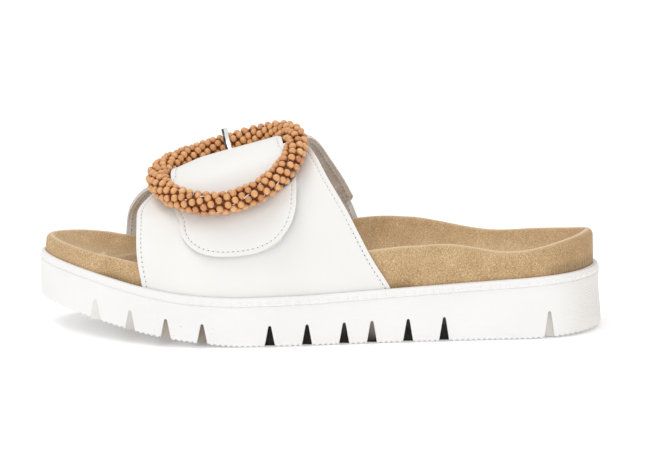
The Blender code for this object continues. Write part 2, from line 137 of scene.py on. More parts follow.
# %% Mesh helpers
def finish_mesh(name, bm, materials, sharp=50.0):
    """Turn a bmesh in millimetres into a smooth object in metres that rides on the shoe."""
    bmesh.ops.scale(bm, vec=(MM, MM, MM), verts=bm.verts)
    mesh = bpy.data.meshes.new(name)
    bm.to_mesh(mesh)
    bm.free()
    for made in materials:
        mesh.materials.append(made)
    mesh.shade_smooth()
    mesh.set_sharp_from_angle(angle=math.radians(sharp))
    obj = in_scene(name, mesh)
    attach(obj, "root")
    print(name, len(mesh.polygons), "faces")
    return obj


def extruded_rings(rings, ends="closed"):
    """A circle moved onto the first ring, then extruded onto each of the others.

    The ends are closed across, left open, or joined into a hoop.
    """
    bm = bmesh.new()
    bmesh.ops.create_circle(bm, segments=len(rings[0]), radius=1.0)
    bm.verts.ensure_lookup_table()
    loop = list(bm.verts)
    edges = list(bm.edges)
    for vert, point in zip(loop, rings[0]):
        vert.co = point
    first = loop
    for ring in rings[1:]:
        grown = bmesh.ops.extrude_edge_only(bm, edges=edges)["geom"]
        fresh = {item for item in grown if isinstance(item, bmesh.types.BMVert)}
        edges = [item for item in grown if isinstance(item, bmesh.types.BMEdge)
                 and item.verts[0] in fresh and item.verts[1] in fresh]
        loop = [next(edge.other_vert(vert) for edge in vert.link_edges
                     if edge.other_vert(vert) in fresh) for vert in loop]
        for vert, point in zip(loop, ring):
            vert.co = point
    if ends == "closed":
        close_across(bm, first)
        close_across(bm, loop)
    elif ends == "hoop":
        bmesh.ops.remove_doubles(bm, verts=first + loop, dist=1e-4)
    bmesh.ops.recalc_face_normals(bm, faces=bm.faces)
    return bm


def close_across(bm, loop):
    """Close a ring whose points are paired across it, with one strip of faces."""
    count = len(loop)
    for i in range(count // 2):
        corners = [loop[i], loop[i + 1], loop[-(i + 1) % count], loop[-i % count]]
        bm.faces.new(list(dict.fromkeys(corners)))


def bent_grid(columns, rows, place):
    """A flat grid whose corners are moved by a function of their two shares."""
    bm = bmesh.new()
    bmesh.ops.create_grid(bm, x_segments=columns, y_segments=rows, size=0.5)
    shares = np.array([vert.co[:2] for vert in bm.verts]) + 0.5
    for vert, point in zip(bm.verts, place(shares[:, 0], shares[:, 1])):
        vert.co = point
    return bm


BATCH = 24
BORE_AT = 0.95


def joined_spheres(name, places, materials, tones=None, sides=(8, 6), dark=0.0):
    """One mesh of small rounded shapes, each a unit sphere moved and stretched into place.

    They are made a few at a time, because an operator slows down as its mesh grows. Each
    can have a tone, with painted shade that makes it darker low on its sides and at both
    ends, where its bore opens.
    """
    whole = bmesh.new()
    whole.verts.layers.float.new("tone")
    for start in range(0, len(places), BATCH):
        bm = bmesh.new()
        layer = bm.verts.layers.float.new("tone")
        for k, place in enumerate(places[start:start + BATCH], start):
            made = bmesh.ops.create_uvsphere(bm, u_segments=sides[0], v_segments=sides[1],
                                             radius=1.0, matrix=place)
            back = place.inverted()
            for vert in made["verts"]:
                tone = tones[k] if tones else 0.5
                spot = back @ vert.co
                # Painted shade: the tone drops low on the sides and at the bore's ends.
                side = min(max(0.5 - spot.z, 0.0), 1.0)
                vert[layer] = tone - dark * max(float(abs(spot.x) > BORE_AT), side)
        batch = bpy.data.meshes.new("batch")
        bm.to_mesh(batch)
        bm.free()
        whole.from_mesh(batch)
        bpy.data.meshes.remove(batch)
    return finish_mesh(name, whole, materials, 80.0)


def stretched(middle, forward, up, half_sizes):
    """Place of a sphere: its middle, its long way, its outward way, and its half sizes."""
    forward = Vector(forward).normalized()
    side = Vector(up).cross(forward).normalized()
    turn = Matrix((forward, side, forward.cross(side))).transposed().to_4x4()
    return Matrix.Translation(middle) @ turn @ Matrix.Diagonal((*half_sizes, 1.0))


def spread(obj, name, values):
    """Store one number for each vertex, for a material to read."""
    layer = obj.data.attributes.new(name, "FLOAT", "POINT")
    layer.data.foreach_set("value", np.asarray(values, np.float32))


def points_of(obj):
    """The vertices of a finished piece, in millimetres."""
    return np.array([vert.co for vert in obj.data.vertices]) / MM


# %% [markdown]
# ## Helpers for finishes
# A finish is a Principled shader with a few nodes in front of it. Most of them need the
# same things: noise at a real size, a colour ramp over it, and a bump. Sizes are given in
# millimetres and turned into the scale of the texture. Noise spends most of its time
# between two values, so those are where a ramp starts and ends.

# %% Finish helpers
NOISE_LOW = 0.3
NOISE_HIGH = 0.7


class Finish:
    """A procedural material built up in front of a Principled shader."""

    def __init__(self, name, **sockets):
        self.material = bpy.data.materials.new(name)
        self.material.use_nodes = True
        self.tree = self.material.node_tree
        self.shader = self.tree.nodes["Principled BSDF"]
        for label, value in sockets.items():
            self.shader.inputs[label.replace("_", " ")].default_value = value
        self.coords = self.tree.nodes.new("ShaderNodeTexCoord").outputs["Object"]
        self.normal = None

    def node(self, kind, *values, **named):
        made = self.tree.nodes.new("ShaderNode" + kind)
        for key, value in [*enumerate(values), *named.items()]:
            socket = made.inputs[key if isinstance(key, int) else key.replace("_", " ")]
            if isinstance(value, bpy.types.NodeSocket):
                self.tree.links.new(value, socket)
            else:
                socket.default_value = value
        return made

    def noise(self, size_mm, detail=2.0, roughness=0.5):
        made = self.node("TexNoise", Vector=self.coords, Scale=1.0 / (size_mm * MM),
                         Detail=detail, Roughness=roughness)
        return made.outputs["Fac"]

    def cells(self, size_mm, feature="F1"):
        made = self.node("TexVoronoi", Vector=self.coords, Scale=1.0 / (size_mm * MM))
        made.feature = feature
        return made.outputs["Distance"]

    def attribute(self, name):
        made = self.node("Attribute")
        made.attribute_name = name
        return made.outputs["Fac"]

    def math(self, operation, *values):
        made = self.node("Math", *values)
        made.operation = operation
        return made.outputs["Value"]

    def between(self, noise, low, high):
        made = self.node("MapRange", Value=noise, From_Min=NOISE_LOW, From_Max=NOISE_HIGH,
                         To_Min=low, To_Max=high)
        made.interpolation_type = "SMOOTHSTEP"
        return made.outputs["Result"]

    def mix(self, share, one, two):
        return self.node("MixRGB", share, one, two).outputs["Color"]

    def ramp(self, value, *stops):
        made = self.node("ValToRGB", value)
        elements = made.color_ramp.elements
        for element, (place, colour) in zip(elements, (stops[0], stops[-1])):
            element.position = place
            element.color = (*colour, 1.0)
        for place, colour in stops[1:-1]:
            elements.new(place).color = (*colour, 1.0)
        return made.outputs["Color"]

    def two_tones(self, noise, dark, light):
        return self.ramp(noise, (NOISE_LOW, dark), (NOISE_HIGH, light))

    def bump(self, height, depth_mm, strength=1.0):
        made = self.node("Bump", Height=height, Distance=depth_mm * MM, Strength=strength)
        if self.normal is not None:
            self.tree.links.new(self.normal, made.inputs["Normal"])
        self.normal = made.outputs["Normal"]
        self.tree.links.new(self.normal, self.shader.inputs["Normal"])

    def colour(self, socket):
        self.tree.links.new(socket, self.shader.inputs["Base Color"])

    def roughness(self, socket):
        self.tree.links.new(socket, self.shader.inputs["Roughness"])


# %% [markdown]
# ## Floor
# One flat square reaches past the edge of every view, so no backdrop is needed. It glows a
# little, like a light table, which keeps the shadow under the shoe pale.

# %% Floor
floor_finish = Finish("studio_floor", Base_Color=(0.97, 0.97, 0.97, 1.0), Roughness=0.9,
                      Emission_Color=WHITE, Emission_Strength=0.145)
bm = bmesh.new()
bmesh.ops.create_grid(bm, x_segments=1, y_segments=1, size=9.0)
floor_mesh = bpy.data.meshes.new("floor")
bm.to_mesh(floor_mesh)
bm.free()
floor_mesh.materials.append(floor_finish.material)
floor = in_scene("floor", floor_mesh)
floor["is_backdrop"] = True
print("floor:", floor.dimensions[0], "m")

# %% [markdown]
# ## Finishes
# **White leather** is smooth, with a very fine grain and a low, even gloss. A picture of
# leather could be wrapped round each panel, but noise in the object's own coordinates has no
# seams and keeps its real size. The cut edge shows the fibres, so it is darker and rougher.
# The linings are suede in three close tones: taupe in the lateral panel, grey in the medial
# one.

# %% Leather finishes
white = Finish("white_leather", Roughness=0.46, Specular_IOR_Level=0.4)
white.colour(white.two_tones(white.noise(38.0), (0.855, 0.848, 0.828), (0.885, 0.879, 0.860)))
white.roughness(white.between(white.noise(9.0, 3.0), 0.40, 0.52))
white.bump(white.cells(0.75, "SMOOTH_F1"), 0.035, 0.5)
white.bump(white.noise(5.0, 3.0), 0.09, 0.5)

edge = Finish("cut_leather_edge", Roughness=0.7)
edge.colour(edge.two_tones(edge.noise(1.2, 3.0), (0.64, 0.605, 0.565), (0.78, 0.745, 0.705)))
edge.bump(edge.noise(0.5), 0.08, 0.6)


def suede_lining(name, dark, middle, light):
    """Suede on the inside of a panel, in three tones."""
    made = Finish(name, Roughness=0.95, Sheen_Weight=0.3, Sheen_Roughness=0.45)
    clouds = made.math("MULTIPLY", made.noise(4.0, 3.0), 0.35)
    speck = made.math("MULTIPLY_ADD", made.noise(0.55), 0.65, clouds)
    made.colour(made.ramp(speck, (0.32, dark), (0.52, middle), (0.70, light)))
    made.bump(made.noise(0.4, 3.0), 0.16, 0.8)
    return made


lining = suede_lining("taupe_suede_lining", (0.46, 0.41, 0.37), (0.70, 0.64, 0.59),
                      (0.86, 0.81, 0.76))
pale_lining = suede_lining("grey_suede_lining", (0.70, 0.70, 0.71), (0.86, 0.86, 0.87),
                           (0.93, 0.93, 0.94))
print("leather ready")

# %% [markdown]
# The footbed's **suede** has no gloss, a velvety sheen at grazing angles, and a nap that
# makes fine specks and soft clouds of lighter and darker tone. Painted light isn't spread
# like noise: a painted highlight follows the crest and the toe bar, painted light and some
# wear lighten the floor, and painted shade darkens the heel's end. So the mesh carries
# numbers for them, and the finish mixes its tones by them.

# %% Suede of the footbed
suede = Finish("tan_suede_cover", Roughness=0.94, Sheen_Weight=0.22, Sheen_Roughness=0.4)
suede.shader.inputs["Sheen Tint"].default_value = (1.0, 0.86, 0.68, 1.0)
clouds = suede.math("MULTIPLY", suede.noise(9.0, 3.0), 0.12)
speck = suede.math("MULTIPLY_ADD", suede.noise(0.42, 3.0, 0.7), 0.88, clouds)
nap = suede.ramp(speck, (0.36, (0.30, 0.175, 0.08)), (0.455, (0.48, 0.31, 0.153)),
                 (0.545, (0.615, 0.42, 0.222)), (0.65, (0.86, 0.65, 0.405)))
# Painted shade: darker brown towards the heel's end, where less light falls.
nap = suede.mix(suede.attribute("heel_wall_shade"), nap, (0.30, 0.16, 0.065, 1.0))
# Painted highlight along the crest and the toe bar, and painted light with some wear on the floor,
# mixed towards a pale tan.
highlight_and_wear = suede.math("MULTIPLY", suede.attribute("highlight_and_wear"), 0.75)
suede.colour(suede.mix(highlight_and_wear, nap, (0.84, 0.67, 0.47, 1.0)))
pleats = suede.math("MULTIPLY", suede.math("SINE", suede.attribute("pleat_turn")),
                    suede.attribute("pleat_share"))
suede.bump(pleats, 0.45, 0.9)
suede.bump(suede.noise(0.55, 3.0, 0.6), 0.20, 0.9)
print("suede ready")

# %% [markdown]
# The **foam** of the sole is a matt moulded white with fine ribs. They are too fine to be
# worth modelling, so a sine of the height over the tread makes a bump. The heel's end is
# painted a warmer grey, as painted shade. The webs in the grooves have a foam of their own,
# from white to nearly black with painted shade, by a number stored on each web.

# %% Foam of the sole
foam = Finish("white_moulded_foam", Roughness=0.55, Specular_IOR_Level=0.35)
foam_tone = foam.two_tones(foam.noise(26.0, 3.0), (0.87, 0.862, 0.848), (0.895, 0.888, 0.876))
# Painted shade: a warmer grey towards the heel's end, where less light falls.
foam_tone = foam.mix(foam.attribute("heel_end_shade"), foam_tone, (0.80, 0.755, 0.71, 1.0))
scuffs = foam.math("MULTIPLY", foam.attribute("scuffed"),
                   foam.math("LESS_THAN", foam.cells(2.3), 0.13))
foam.colour(foam.mix(foam.math("MULTIPLY", scuffs, 0.5), foam_tone, (0.45, 0.36, 0.27, 1.0)))
ribs = foam.math("MULTIPLY", foam.math("SINE", foam.attribute("rib_turn")),
                 foam.attribute("rib_share"))
foam.bump(ribs, 0.11, 0.8)
foam.bump(foam.noise(0.8), 0.02, 0.4)

groove_foam = Finish("foam_with_painted_groove_shade", Roughness=0.7, Specular_IOR_Level=0.25)
# Painted shade: each web's number, with a little noise, runs its foam from white to nearly black.
depth = groove_foam.math("MULTIPLY_ADD", groove_foam.noise(2.0), 0.12,
                         groove_foam.attribute("depth"))
groove_foam.colour(groove_foam.ramp(depth, (0.0, (0.84, 0.83, 0.81)), (0.4, (0.54, 0.48, 0.42)),
                                    (0.7, (0.30, 0.25, 0.21)), (0.97, (0.014, 0.010, 0.009))))
print("foam ready")

# %% [markdown]
# The **beads** are satin, each a little different in tone, which is a number stored on the
# mesh; the same number carries painted shade, low on each bead's sides and at its bore. The
# **steel** is polished; it is made a little less than metallic, so that it stays light where
# it mirrors nothing bright. Metals differ only in tone and roughness, and so do the threads,
# so one helper makes each kind.

# %% Beads, thread and metal
bead = Finish("satin_bead", Roughness=0.19, Specular_IOR_Level=0.65)
# The ramp's dark red-brown low end is painted shade between the beads.
shade = bead.math("MULTIPLY_ADD", bead.noise(1.3), 0.22, bead.attribute("tone"))
bead.colour(bead.ramp(shade, (0.0, (0.27, 0.07, 0.02)), (0.25, (0.52, 0.20, 0.065)),
                      (0.55, (0.71, 0.35, 0.135)), (1.0, (0.86, 0.49, 0.215))))
bead.bump(bead.noise(0.5), 0.02, 0.5)

# The core's dark red-brown is partly its own colour and partly painted shade and reddish bounced
# light between the beads.
core = Finish("wound_core_and_crevice_shade", Roughness=0.8)
core.colour(core.two_tones(core.noise(1.0), (0.13, 0.038, 0.016), (0.24, 0.08, 0.03)))
core.bump(core.noise(0.6), 0.2, 0.8)


def metal(name, metallic, tones, size_mm, roughness):
    """Metal that wavers between two tones and between two roughnesses."""
    made = Finish(name, Metallic=metallic)
    made.colour(made.two_tones(made.noise(size_mm), *tones))
    made.roughness(made.between(made.noise(0.8), *roughness))
    return made


def sewing_thread(name, roughness, dark, light):
    """Thread in two close tones, with the roughness of its twist."""
    made = Finish(name, Roughness=roughness)
    made.colour(made.two_tones(made.noise(0.4), dark, light))
    made.bump(made.noise(0.25), 0.05, 0.6)
    return made


steel = metal("polished_steel", 0.55, ((0.88, 0.88, 0.88), (0.95, 0.95, 0.94)), 3.0, (0.28, 0.38))
# Near-black steel: a painted reflection of a dark room on one side of the prong.
painted_reflection_steel = metal("steel_painted_dark_reflection", 1.0, ((0.03, 0.03, 0.03), (0.06, 0.06, 0.06)), 2.0,
                   (0.2, 0.3))
thread = sewing_thread("white_thread", 0.75, (0.72, 0.71, 0.69), (0.84, 0.83, 0.81))
under_thread = sewing_thread("taupe_thread", 0.85, (0.33, 0.29, 0.255), (0.44, 0.395, 0.35))

# Needle holes are not cut: each is a dark dot, painted shade for the inside of a hole.
hole_shade = Finish("needle_hole_shade", Roughness=0.9)
hole_shade.colour(hole_shade.two_tones(hole_shade.noise(0.3), (0.13, 0.12, 0.11), (0.22, 0.21, 0.20)))
print("beads, thread and metal ready")

# %% [markdown]
# ## Driving sizes of the shoe
# The outline is a handful of named points, given as shares of the sole's length and of the
# width across the ball, joined by one smooth curve. Heights change slowly from toe to heel,
# so they are a short table with a smooth curve through each column.

# %% Outline and heights
LENGTH = 263.0
BALL_WIDTH = 93.0
TOE_SPRING = 14.2
SPRING_START = -35.0
SPRING_POWER = 1.3
HEEL_LIFT = 1.5
HEEL_LIFT_START = 94.0
HEEL_POWER = 1.2
GAP = 0.3
LEATHER = 1.6

OUTLINE = (
    # place                 along   across
    ("toe tip",             0.000,  0.094),
    ("outer toe corner",    0.062, -0.212),
    ("outer toes",          0.125, -0.338),
    ("little toe",          0.200, -0.453),
    ("outer ball",          0.347, -0.500),
    ("outer waist",         0.584, -0.415),
    ("outer heel",          0.826, -0.335),
    ("outer heel corner",   0.948, -0.243),
    ("heel back",           1.000,  0.015),
    ("inner heel corner",   0.952,  0.245),
    ("inner heel",          0.837,  0.372),
    ("inner waist",         0.615,  0.356),
    ("inner ball",          0.308,  0.495),
    ("big toe",             0.136,  0.425),
    ("inner toe corner",    0.036,  0.275),
)

# Thickness of the sole, the footbed's rim over the sole on the outer and inner side, its
# floor over the sole, and the ledge from the sole's wall to the footbed.
HEIGHTS = (
    # x       sole   rim_outer  rim_inner  floor  ledge
    (-131.5,  21.1,   7.6,       7.6,       4.8,   2.2),
    (-115.0,  21.5,   7.9,       8.0,       4.0,   2.3),
    (-100.0,  21.3,   8.5,       8.2,       3.4,   2.6),
    (-82.0,   21.1,   9.4,       8.5,       3.4,   2.9),
    (-64.0,   21.1,   9.7,       9.2,       3.6,   3.0),
    (-38.0,   22.2,   9.9,      10.2,       4.2,   3.0),
    (-10.0,   22.8,  13.5,      15.9,       5.2,   3.0),
    (20.0,    24.1,  17.2,      22.3,       6.2,   3.0),
    (42.0,    25.3,  18.1,      21.4,       5.6,   3.0),
    (62.0,    26.4,  17.2,      16.6,       4.2,   3.0),
    (84.0,    27.6,  12.4,      12.2,       2.8,   3.1),
    (98.0,    28.3,  12.6,      12.4,       2.4,   3.1),
    (114.0,   28.7,  15.0,      13.3,       3.2,   3.1),
    (131.5,   28.9,  16.8,      16.0,       4.8,   3.1),
)


def spline(knots, values):
    """A natural cubic curve through the values, held flat past both ends."""
    knots = np.asarray(knots, float)
    values = np.asarray(values, float)
    count = len(knots)
    step = np.diff(knots)
    system = np.eye(count)
    right = np.zeros(count)
    for i in range(1, count - 1):
        system[i, i - 1:i + 2] = step[i - 1], 2 * (step[i - 1] + step[i]), step[i]
        right[i] = 3 * ((values[i + 1] - values[i]) / step[i]
                        - (values[i] - values[i - 1]) / step[i - 1])
    curve = np.linalg.solve(system, right)

    def at(x):
        x = np.clip(x, knots[0], knots[-1])
        i = np.clip(np.searchsorted(knots, x) - 1, 0, count - 2)
        run = x - knots[i]
        slope = (values[i + 1] - values[i]) / step[i] - step[i] * (2 * curve[i] + curve[i + 1]) / 3
        cube = (curve[i + 1] - curve[i]) / (3 * step[i])
        return values[i] + run * (slope + run * (curve[i] + run * cube))
    return at


def column_splines(table):
    """One curve for each column of a table, over its first column."""
    columns = list(zip(*table))
    return [spline(columns[0], values) for values in columns[1:]]


def smooth_step(start, end, x):
    """0 at the start, 1 at the end, with level ends; it may run either way."""
    t = np.clip((np.asarray(x, float) - start) / (end - start), 0.0, 1.0)
    return t * t * (3.0 - 2.0 * t)


def hump(distance, half_width):
    """1 at distance 0, fading smoothly to 0 past the half width."""
    return np.exp(-(np.asarray(distance, float) / half_width) ** 2)


def run_along(points):
    """The way covered along a line at each of its points."""
    steps = np.linalg.norm(np.diff(points, axis=0), axis=1)
    return np.concatenate([[0], np.cumsum(steps)])


def unit(rows):
    """Each row scaled to a length of 1."""
    return rows / np.linalg.norm(rows, axis=1)[:, None]


def outline_points(count=1440):
    """The sole's outline as a closed smooth curve, centred and scaled to size."""
    points = np.array([(along * LENGTH, across * BALL_WIDTH) for _, along, across in OUTLINE])
    ring = np.vstack([points, points, points, points[:1]])
    run = run_along(ring)
    start, end = run[len(points)], run[2 * len(points)]
    at = np.linspace(start, end, count, endpoint=False)
    curve = np.column_stack([spline(run, ring[:, 0])(at), spline(run, ring[:, 1])(at)])
    low, high = curve.min(axis=0), curve.max(axis=0)
    return (curve - (low + high) / 2) * (LENGTH, BALL_WIDTH) / (high - low)


CURVE = outline_points()
sole_thickness, rim_outer, rim_inner, bed_floor, ledge = column_splines(HEIGHTS)
print("outline:", len(CURVE), "points,", LENGTH, "x", BALL_WIDTH, "mm")

# %% [markdown]
# Every piece of the sole and the footbed is a ring at the same places along the foot, set in
# from the outline by its own distance. The places are even in the middle and closer at both
# tips, where the outline turns. Pairing the two sides lets a ring be closed straight across.

# %% Places on the outline
TIP_LENGTH = 14.0


def set_in(curve, distance):
    """The closed curve moved inwards by a distance, or by one for each point."""
    forward = np.roll(curve, -1, axis=0) - np.roll(curve, 1, axis=0)
    normal = unit(np.column_stack([-forward[:, 1], forward[:, 0]]))
    middle = curve.mean(axis=0)
    if ((middle - curve) * normal).sum() < 0:
        normal = -normal
    return curve + normal * np.reshape(distance, (-1, 1))


def side_of(curve, x, outer):
    """y of a closed curve at x, on its outer or inner side."""
    toe, heel = curve[:, 0].argmin(), curve[:, 0].argmax()
    forward = np.roll(curve, -toe, axis=0)
    split = (heel - toe) % len(curve)
    one, two = forward[:split + 1], np.vstack([forward[split:], forward[:1]])[::-1]
    if (one[:, 1].mean() < two[:, 1].mean()) != outer:
        one = two
    return np.interp(x, one[:, 0], one[:, 1])


def tread(x):
    """Height of the underside over the ground."""
    toe = np.clip((SPRING_START - x) / (SPRING_START + LENGTH / 2), 0.0, None)
    heel = np.clip((x - HEEL_LIFT_START) / (LENGTH / 2 - HEEL_LIFT_START), 0.0, None)
    return TOE_SPRING * toe ** SPRING_POWER + HEEL_LIFT * heel ** HEEL_POWER


def sole_top(x):
    """Height of the sole's ledge over the ground."""
    return tread(x) + sole_thickness(x)


def middle_line(x):
    """y halfway between the two sides of the outline."""
    return (side_of(CURVE, x, True) + side_of(CURVE, x, False)) / 2


def level(ring, z):
    """A flat ring lifted to a height, or to one for each point."""
    return np.column_stack([ring, np.broadcast_to(z, len(ring))])


def stations_along(step, corners=()):
    """Places along the foot: even steps, closer at both tips, and the corners asked for."""
    inner = LENGTH / 2 - TIP_LENGTH
    turn = np.linspace(0, math.pi / 2, 26)[:-1]
    tip = LENGTH / 2 - TIP_LENGTH * (1 - np.cos(turn))
    even = np.arange(-inner, inner + 1e-6, step)
    if len(corners):
        away = np.abs(even[:, None] - np.array(corners)[None]).min(axis=1) > step * 0.4
        even = even[away]
    return np.unique(np.round(np.concatenate([-tip, even, corners, tip]), 4))


def ring_at(stations, distance):
    """The outline set in by a distance, at the same places along on both sides.

    The points run down the outer side from toe to heel and back up the inner side.
    """
    curve = set_in(CURVE, distance)
    low, high = curve[:, 0].min(), curve[:, 0].max()
    toe = np.clip(1 - (stations - stations[0]) / TIP_LENGTH, 0, 1)
    heel = np.clip(1 - (stations[-1] - stations) / TIP_LENGTH, 0, 1)
    x = stations + (low - stations[0]) * toe ** 2 + (high - stations[-1]) * heel ** HEEL_POWER
    outer = np.column_stack([x, side_of(curve, x, True)])
    inner = np.column_stack([x, side_of(curve, x, False)])
    outer[0], outer[-1] = (outer[0] + inner[0]) / 2, (outer[-1] + inner[-1]) / 2
    return np.vstack([outer, inner[-2:0:-1]])


print("ball width:", round(float(side_of(CURVE, -40.0, False) - side_of(CURVE, -40.0, True)), 1))

# %% [markdown]
# ## Sole
# The real sole is one piece of foam from a mould: a straight wall, V-shaped grooves that run
# right across, a toothed edge where each lug meets the ground, and a rounded welt round the
# top with a fine groove under it. The grooves run straight across, so the height of the
# underside depends only on the place along the foot, and nothing has to be cut: a dense loop
# follows the outline, with points at every corner of a groove, and is extruded up the wall.

# %% Sole sizes
GROOVE_SHARE = 0.43
GROOVE_WIDTH = 4.7
GROOVE_TOP_WIDTH = 1.3
GROOVE_DOME = 0.5
TOOTH_PITCH = 2.5
TOOTH_DEPTH = 0.75
RIB_PITCH = 1.25
FAINT_RIBS = 0.12
RECESS_DEPTH = 8.0

# Where along the foot, in order, each trait of the foam, and the painted shade at the heel's
# end, starts and is full.
RIBS_GROW = (108.0, 126.0)
HEEL_END_SHADE_GROWS = (104.0, 126.0)
SCUFFS_GROW = (-78.0, -70.0)
SCUFFS_FADE = (-44.0, -54.0)
MOST_HEEL_END_SHADE = 0.65

# The same up the wall: over the tread, and for the top of the ribs below the ledge.
RIBS_OVER_TREAD = (1.2, 2.4)
RIBS_BELOW_TOP = (4.2, 5.0)
SCUFFS_OVER_TREAD = (11.0, 7.0)

GROOVES = (
    # first_x   count   pitch
    (-102.6,    4,      16.5),
    (-22.7,     3,      16.8),
    (23.5,      3,      16.5),
    (105.0,     1,      0.0),
)

# Rings at the foot of the wall, and how much of the teeth reaches them.
SOLE_FOOT = (
    # set_in   rise   teeth
    (1.60,     0.00,  1.0),
    (0.80,     0.05,  1.0),
    (0.28,     0.30,  0.8),
    (0.06,     0.80,  0.4),
    (0.00,     1.40,  0.0),
)

# Rings of the welt: a fine groove in the wall, then a rounded shoulder up to the ledge.
WELT = (
    # set_in   below_top
    (0.00,     4.15),
    (0.12,     3.92),
    (0.48,     3.82),
    (0.52,     3.60),
    (0.20,     3.42),
    (0.16,     3.10),
    (0.12,     2.00),
    (0.25,     1.00),
    (0.50,     0.42),
    (0.85,     0.10),
    (1.30,     0.00),
)

groove_places = [first + k * pitch for first, count, pitch in GROOVES for k in range(count)]


def groove_rise(x):
    """How far the underside rises into a groove."""
    rise = np.zeros_like(x)
    half, blunt = GROOVE_WIDTH / 2, GROOVE_TOP_WIDTH / 2
    for place in groove_places:
        top = GROOVE_SHARE * sole_thickness(place)
        off = np.abs(x - place)
        slope = np.clip((half - off) / (half - blunt), 0, 1)
        dome = np.clip((blunt - off) / blunt, 0, 1)
        rise = np.maximum(rise, (top - GROOVE_DOME) * slope + GROOVE_DOME * np.sqrt(dome))
    return rise


print("grooves:", len(groove_places))

# %% Sole mesh
half, blunt = GROOVE_WIDTH / 2, GROOVE_TOP_WIDTH / 2
corners = [place + off for place in groove_places
           for off in (-half, -blunt, -blunt / 2, 0.0, blunt / 2, blunt, half)]
stations = stations_along(TOOTH_PITCH / 6, corners)
wall = ring_at(stations, 0.0)
x = wall[:, 0]
on_lug = groove_rise(x) < 0.01
teeth = TOOTH_DEPTH * (1 - np.abs(np.sin(math.pi * x / TOOTH_PITCH))) * on_lug
underside = tread(x) + groove_rise(x)
rings = [level(ring_at(stations, distance), underside + teeth * share + rise)
         for distance, rise, share in SOLE_FOOT]
low = rings[-1][:, 2]
high = sole_top(x) - WELT[0][1]
rings += [level(wall, low + (high - low) * share) for share in (0.2, 0.4, 0.6, 0.8)]
rings += [level(ring_at(stations, distance), sole_top(x) - below) for distance, below in WELT]
recess = ring_at(stations, ledge(CURVE[:, 0]))
rings += [level(recess, sole_top(x)), level(recess, sole_top(x) - RECESS_DEPTH)]
sole = finish_mesh("sole_moulding", extruded_rings(rings), [foam.material], 32.0)

points = points_of(sole)
over_tread = points[:, 2] - tread(points[:, 0])
below_top = sole_top(points[:, 0]) - points[:, 2]
spread(sole, "rib_turn", over_tread / RIB_PITCH * 2 * math.pi)
on_wall = smooth_step(*RIBS_OVER_TREAD, over_tread) * smooth_step(*RIBS_BELOW_TOP, below_top)
ribs_grown = FAINT_RIBS + (1 - FAINT_RIBS) * smooth_step(*RIBS_GROW, points[:, 0])
spread(sole, "rib_share", on_wall * ribs_grown)
near_ball = smooth_step(*SCUFFS_GROW, points[:, 0]) * smooth_step(*SCUFFS_FADE, points[:, 0])
spread(sole, "scuffed", near_ball * smooth_step(*SCUFFS_OVER_TREAD, over_tread))
# Painted shade at the heel's end.
spread(sole, "heel_end_shade", MOST_HEEL_END_SHADE * smooth_step(*HEEL_END_SHADE_GROWS, points[:, 0]))
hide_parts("sole")

# %% [markdown]
# The grooves are notches rather than open channels: a few millimetres behind the wall, a
# web of foam ties the lugs together. Under the toe it is pale at the tip and gets more
# painted shade groove by groove, and under the heel it is pale. In the middle it is painted
# nearly black, as painted shade for the dark deep inside the groove. Each web is a prism with
# the groove's own section, a little wider, so that it grows out of both lugs, extruded right
# across. Its corners carry the amount of painted shade for the finish to read.

# %% Webs between the lugs
WEB_OVERLAP = 0.3
WEB_OVER_TOP = 0.5
WEB_FOOT = 0.1

# Painted shade at each web's top and foot, from 0 for plain foam to 1 for nearly black.
WEBS = (
    # x       from_wall   shade_top  shade_foot
    (-102.6,   0.7,        0.00,    0.00),
    (-86.1,    1.8,        0.00,    0.26),
    (-69.6,    3.0,        0.44,    0.42),
    (-53.1,    3.6,        0.70,    0.55),
    (-22.7,    3.4,        1.00,    1.00),
    (-5.9,     3.4,        1.00,    1.00),
    (10.9,     3.4,        0.80,    1.00),
    (23.5,     3.4,        0.52,    0.92),
    (40.0,     3.4,        0.85,    1.00),
    (56.5,     3.4,        0.80,    1.00),
    (105.0,    2.6,        0.12,    0.12),
)
bm = bmesh.new()
web_shade = bm.verts.layers.float.new("depth")
for x, depth, shade_top, shade_foot in WEBS:
    top = float(tread(x) + GROOVE_SHARE * sole_thickness(x)) + WEB_OVER_TOP
    foot = float(tread(x)) + WEB_FOOT
    outer = float(side_of(CURVE, x, True)) + depth
    inner = float(side_of(CURVE, x, False)) - depth
    section = bmesh.ops.create_circle(bm, cap_ends=True, segments=4, radius=1.0)["verts"]
    half, blunt = GROOVE_WIDTH / 2 + WEB_OVERLAP, GROOVE_TOP_WIDTH / 2 + WEB_OVERLAP
    for vert, (dx, z) in zip(section, ((-half, foot), (half, foot), (blunt, top), (-blunt, top))):
        vert.co = (x + dx, outer, z)
        vert[web_shade] = shade_top if z == top else shade_foot
    face = section[0].link_faces[0]
    grown = bmesh.ops.extrude_face_region(bm, geom=[face], use_keep_orig=True)["geom"]
    moved = [item for item in grown if isinstance(item, bmesh.types.BMVert)]
    bmesh.ops.translate(bm, verts=moved, vec=(0.0, inner - outer, 0.0))
bmesh.ops.recalc_face_normals(bm, faces=bm.faces)
webs = finish_mesh("sole_webs", bm, [groove_foam.material], 30.0)

# %% [markdown]
# The welt carries a row of moulded stitches from the ball of the foot round the heel. They
# are small slanted ovals that stand out a little from the shoulder, so each is one stretched
# sphere, laid out at an even pitch along the outline and joined into one mesh.

# %% Moulded stitches on the welt
STITCH_PITCH = 4.4
STITCH_START = -61.0
STITCH_BELOW = 2.45
STITCH_SET_IN = 0.16
STITCH_HALF = (1.20, 0.72, 0.55)
STITCH_SLANT = math.radians(24.0)


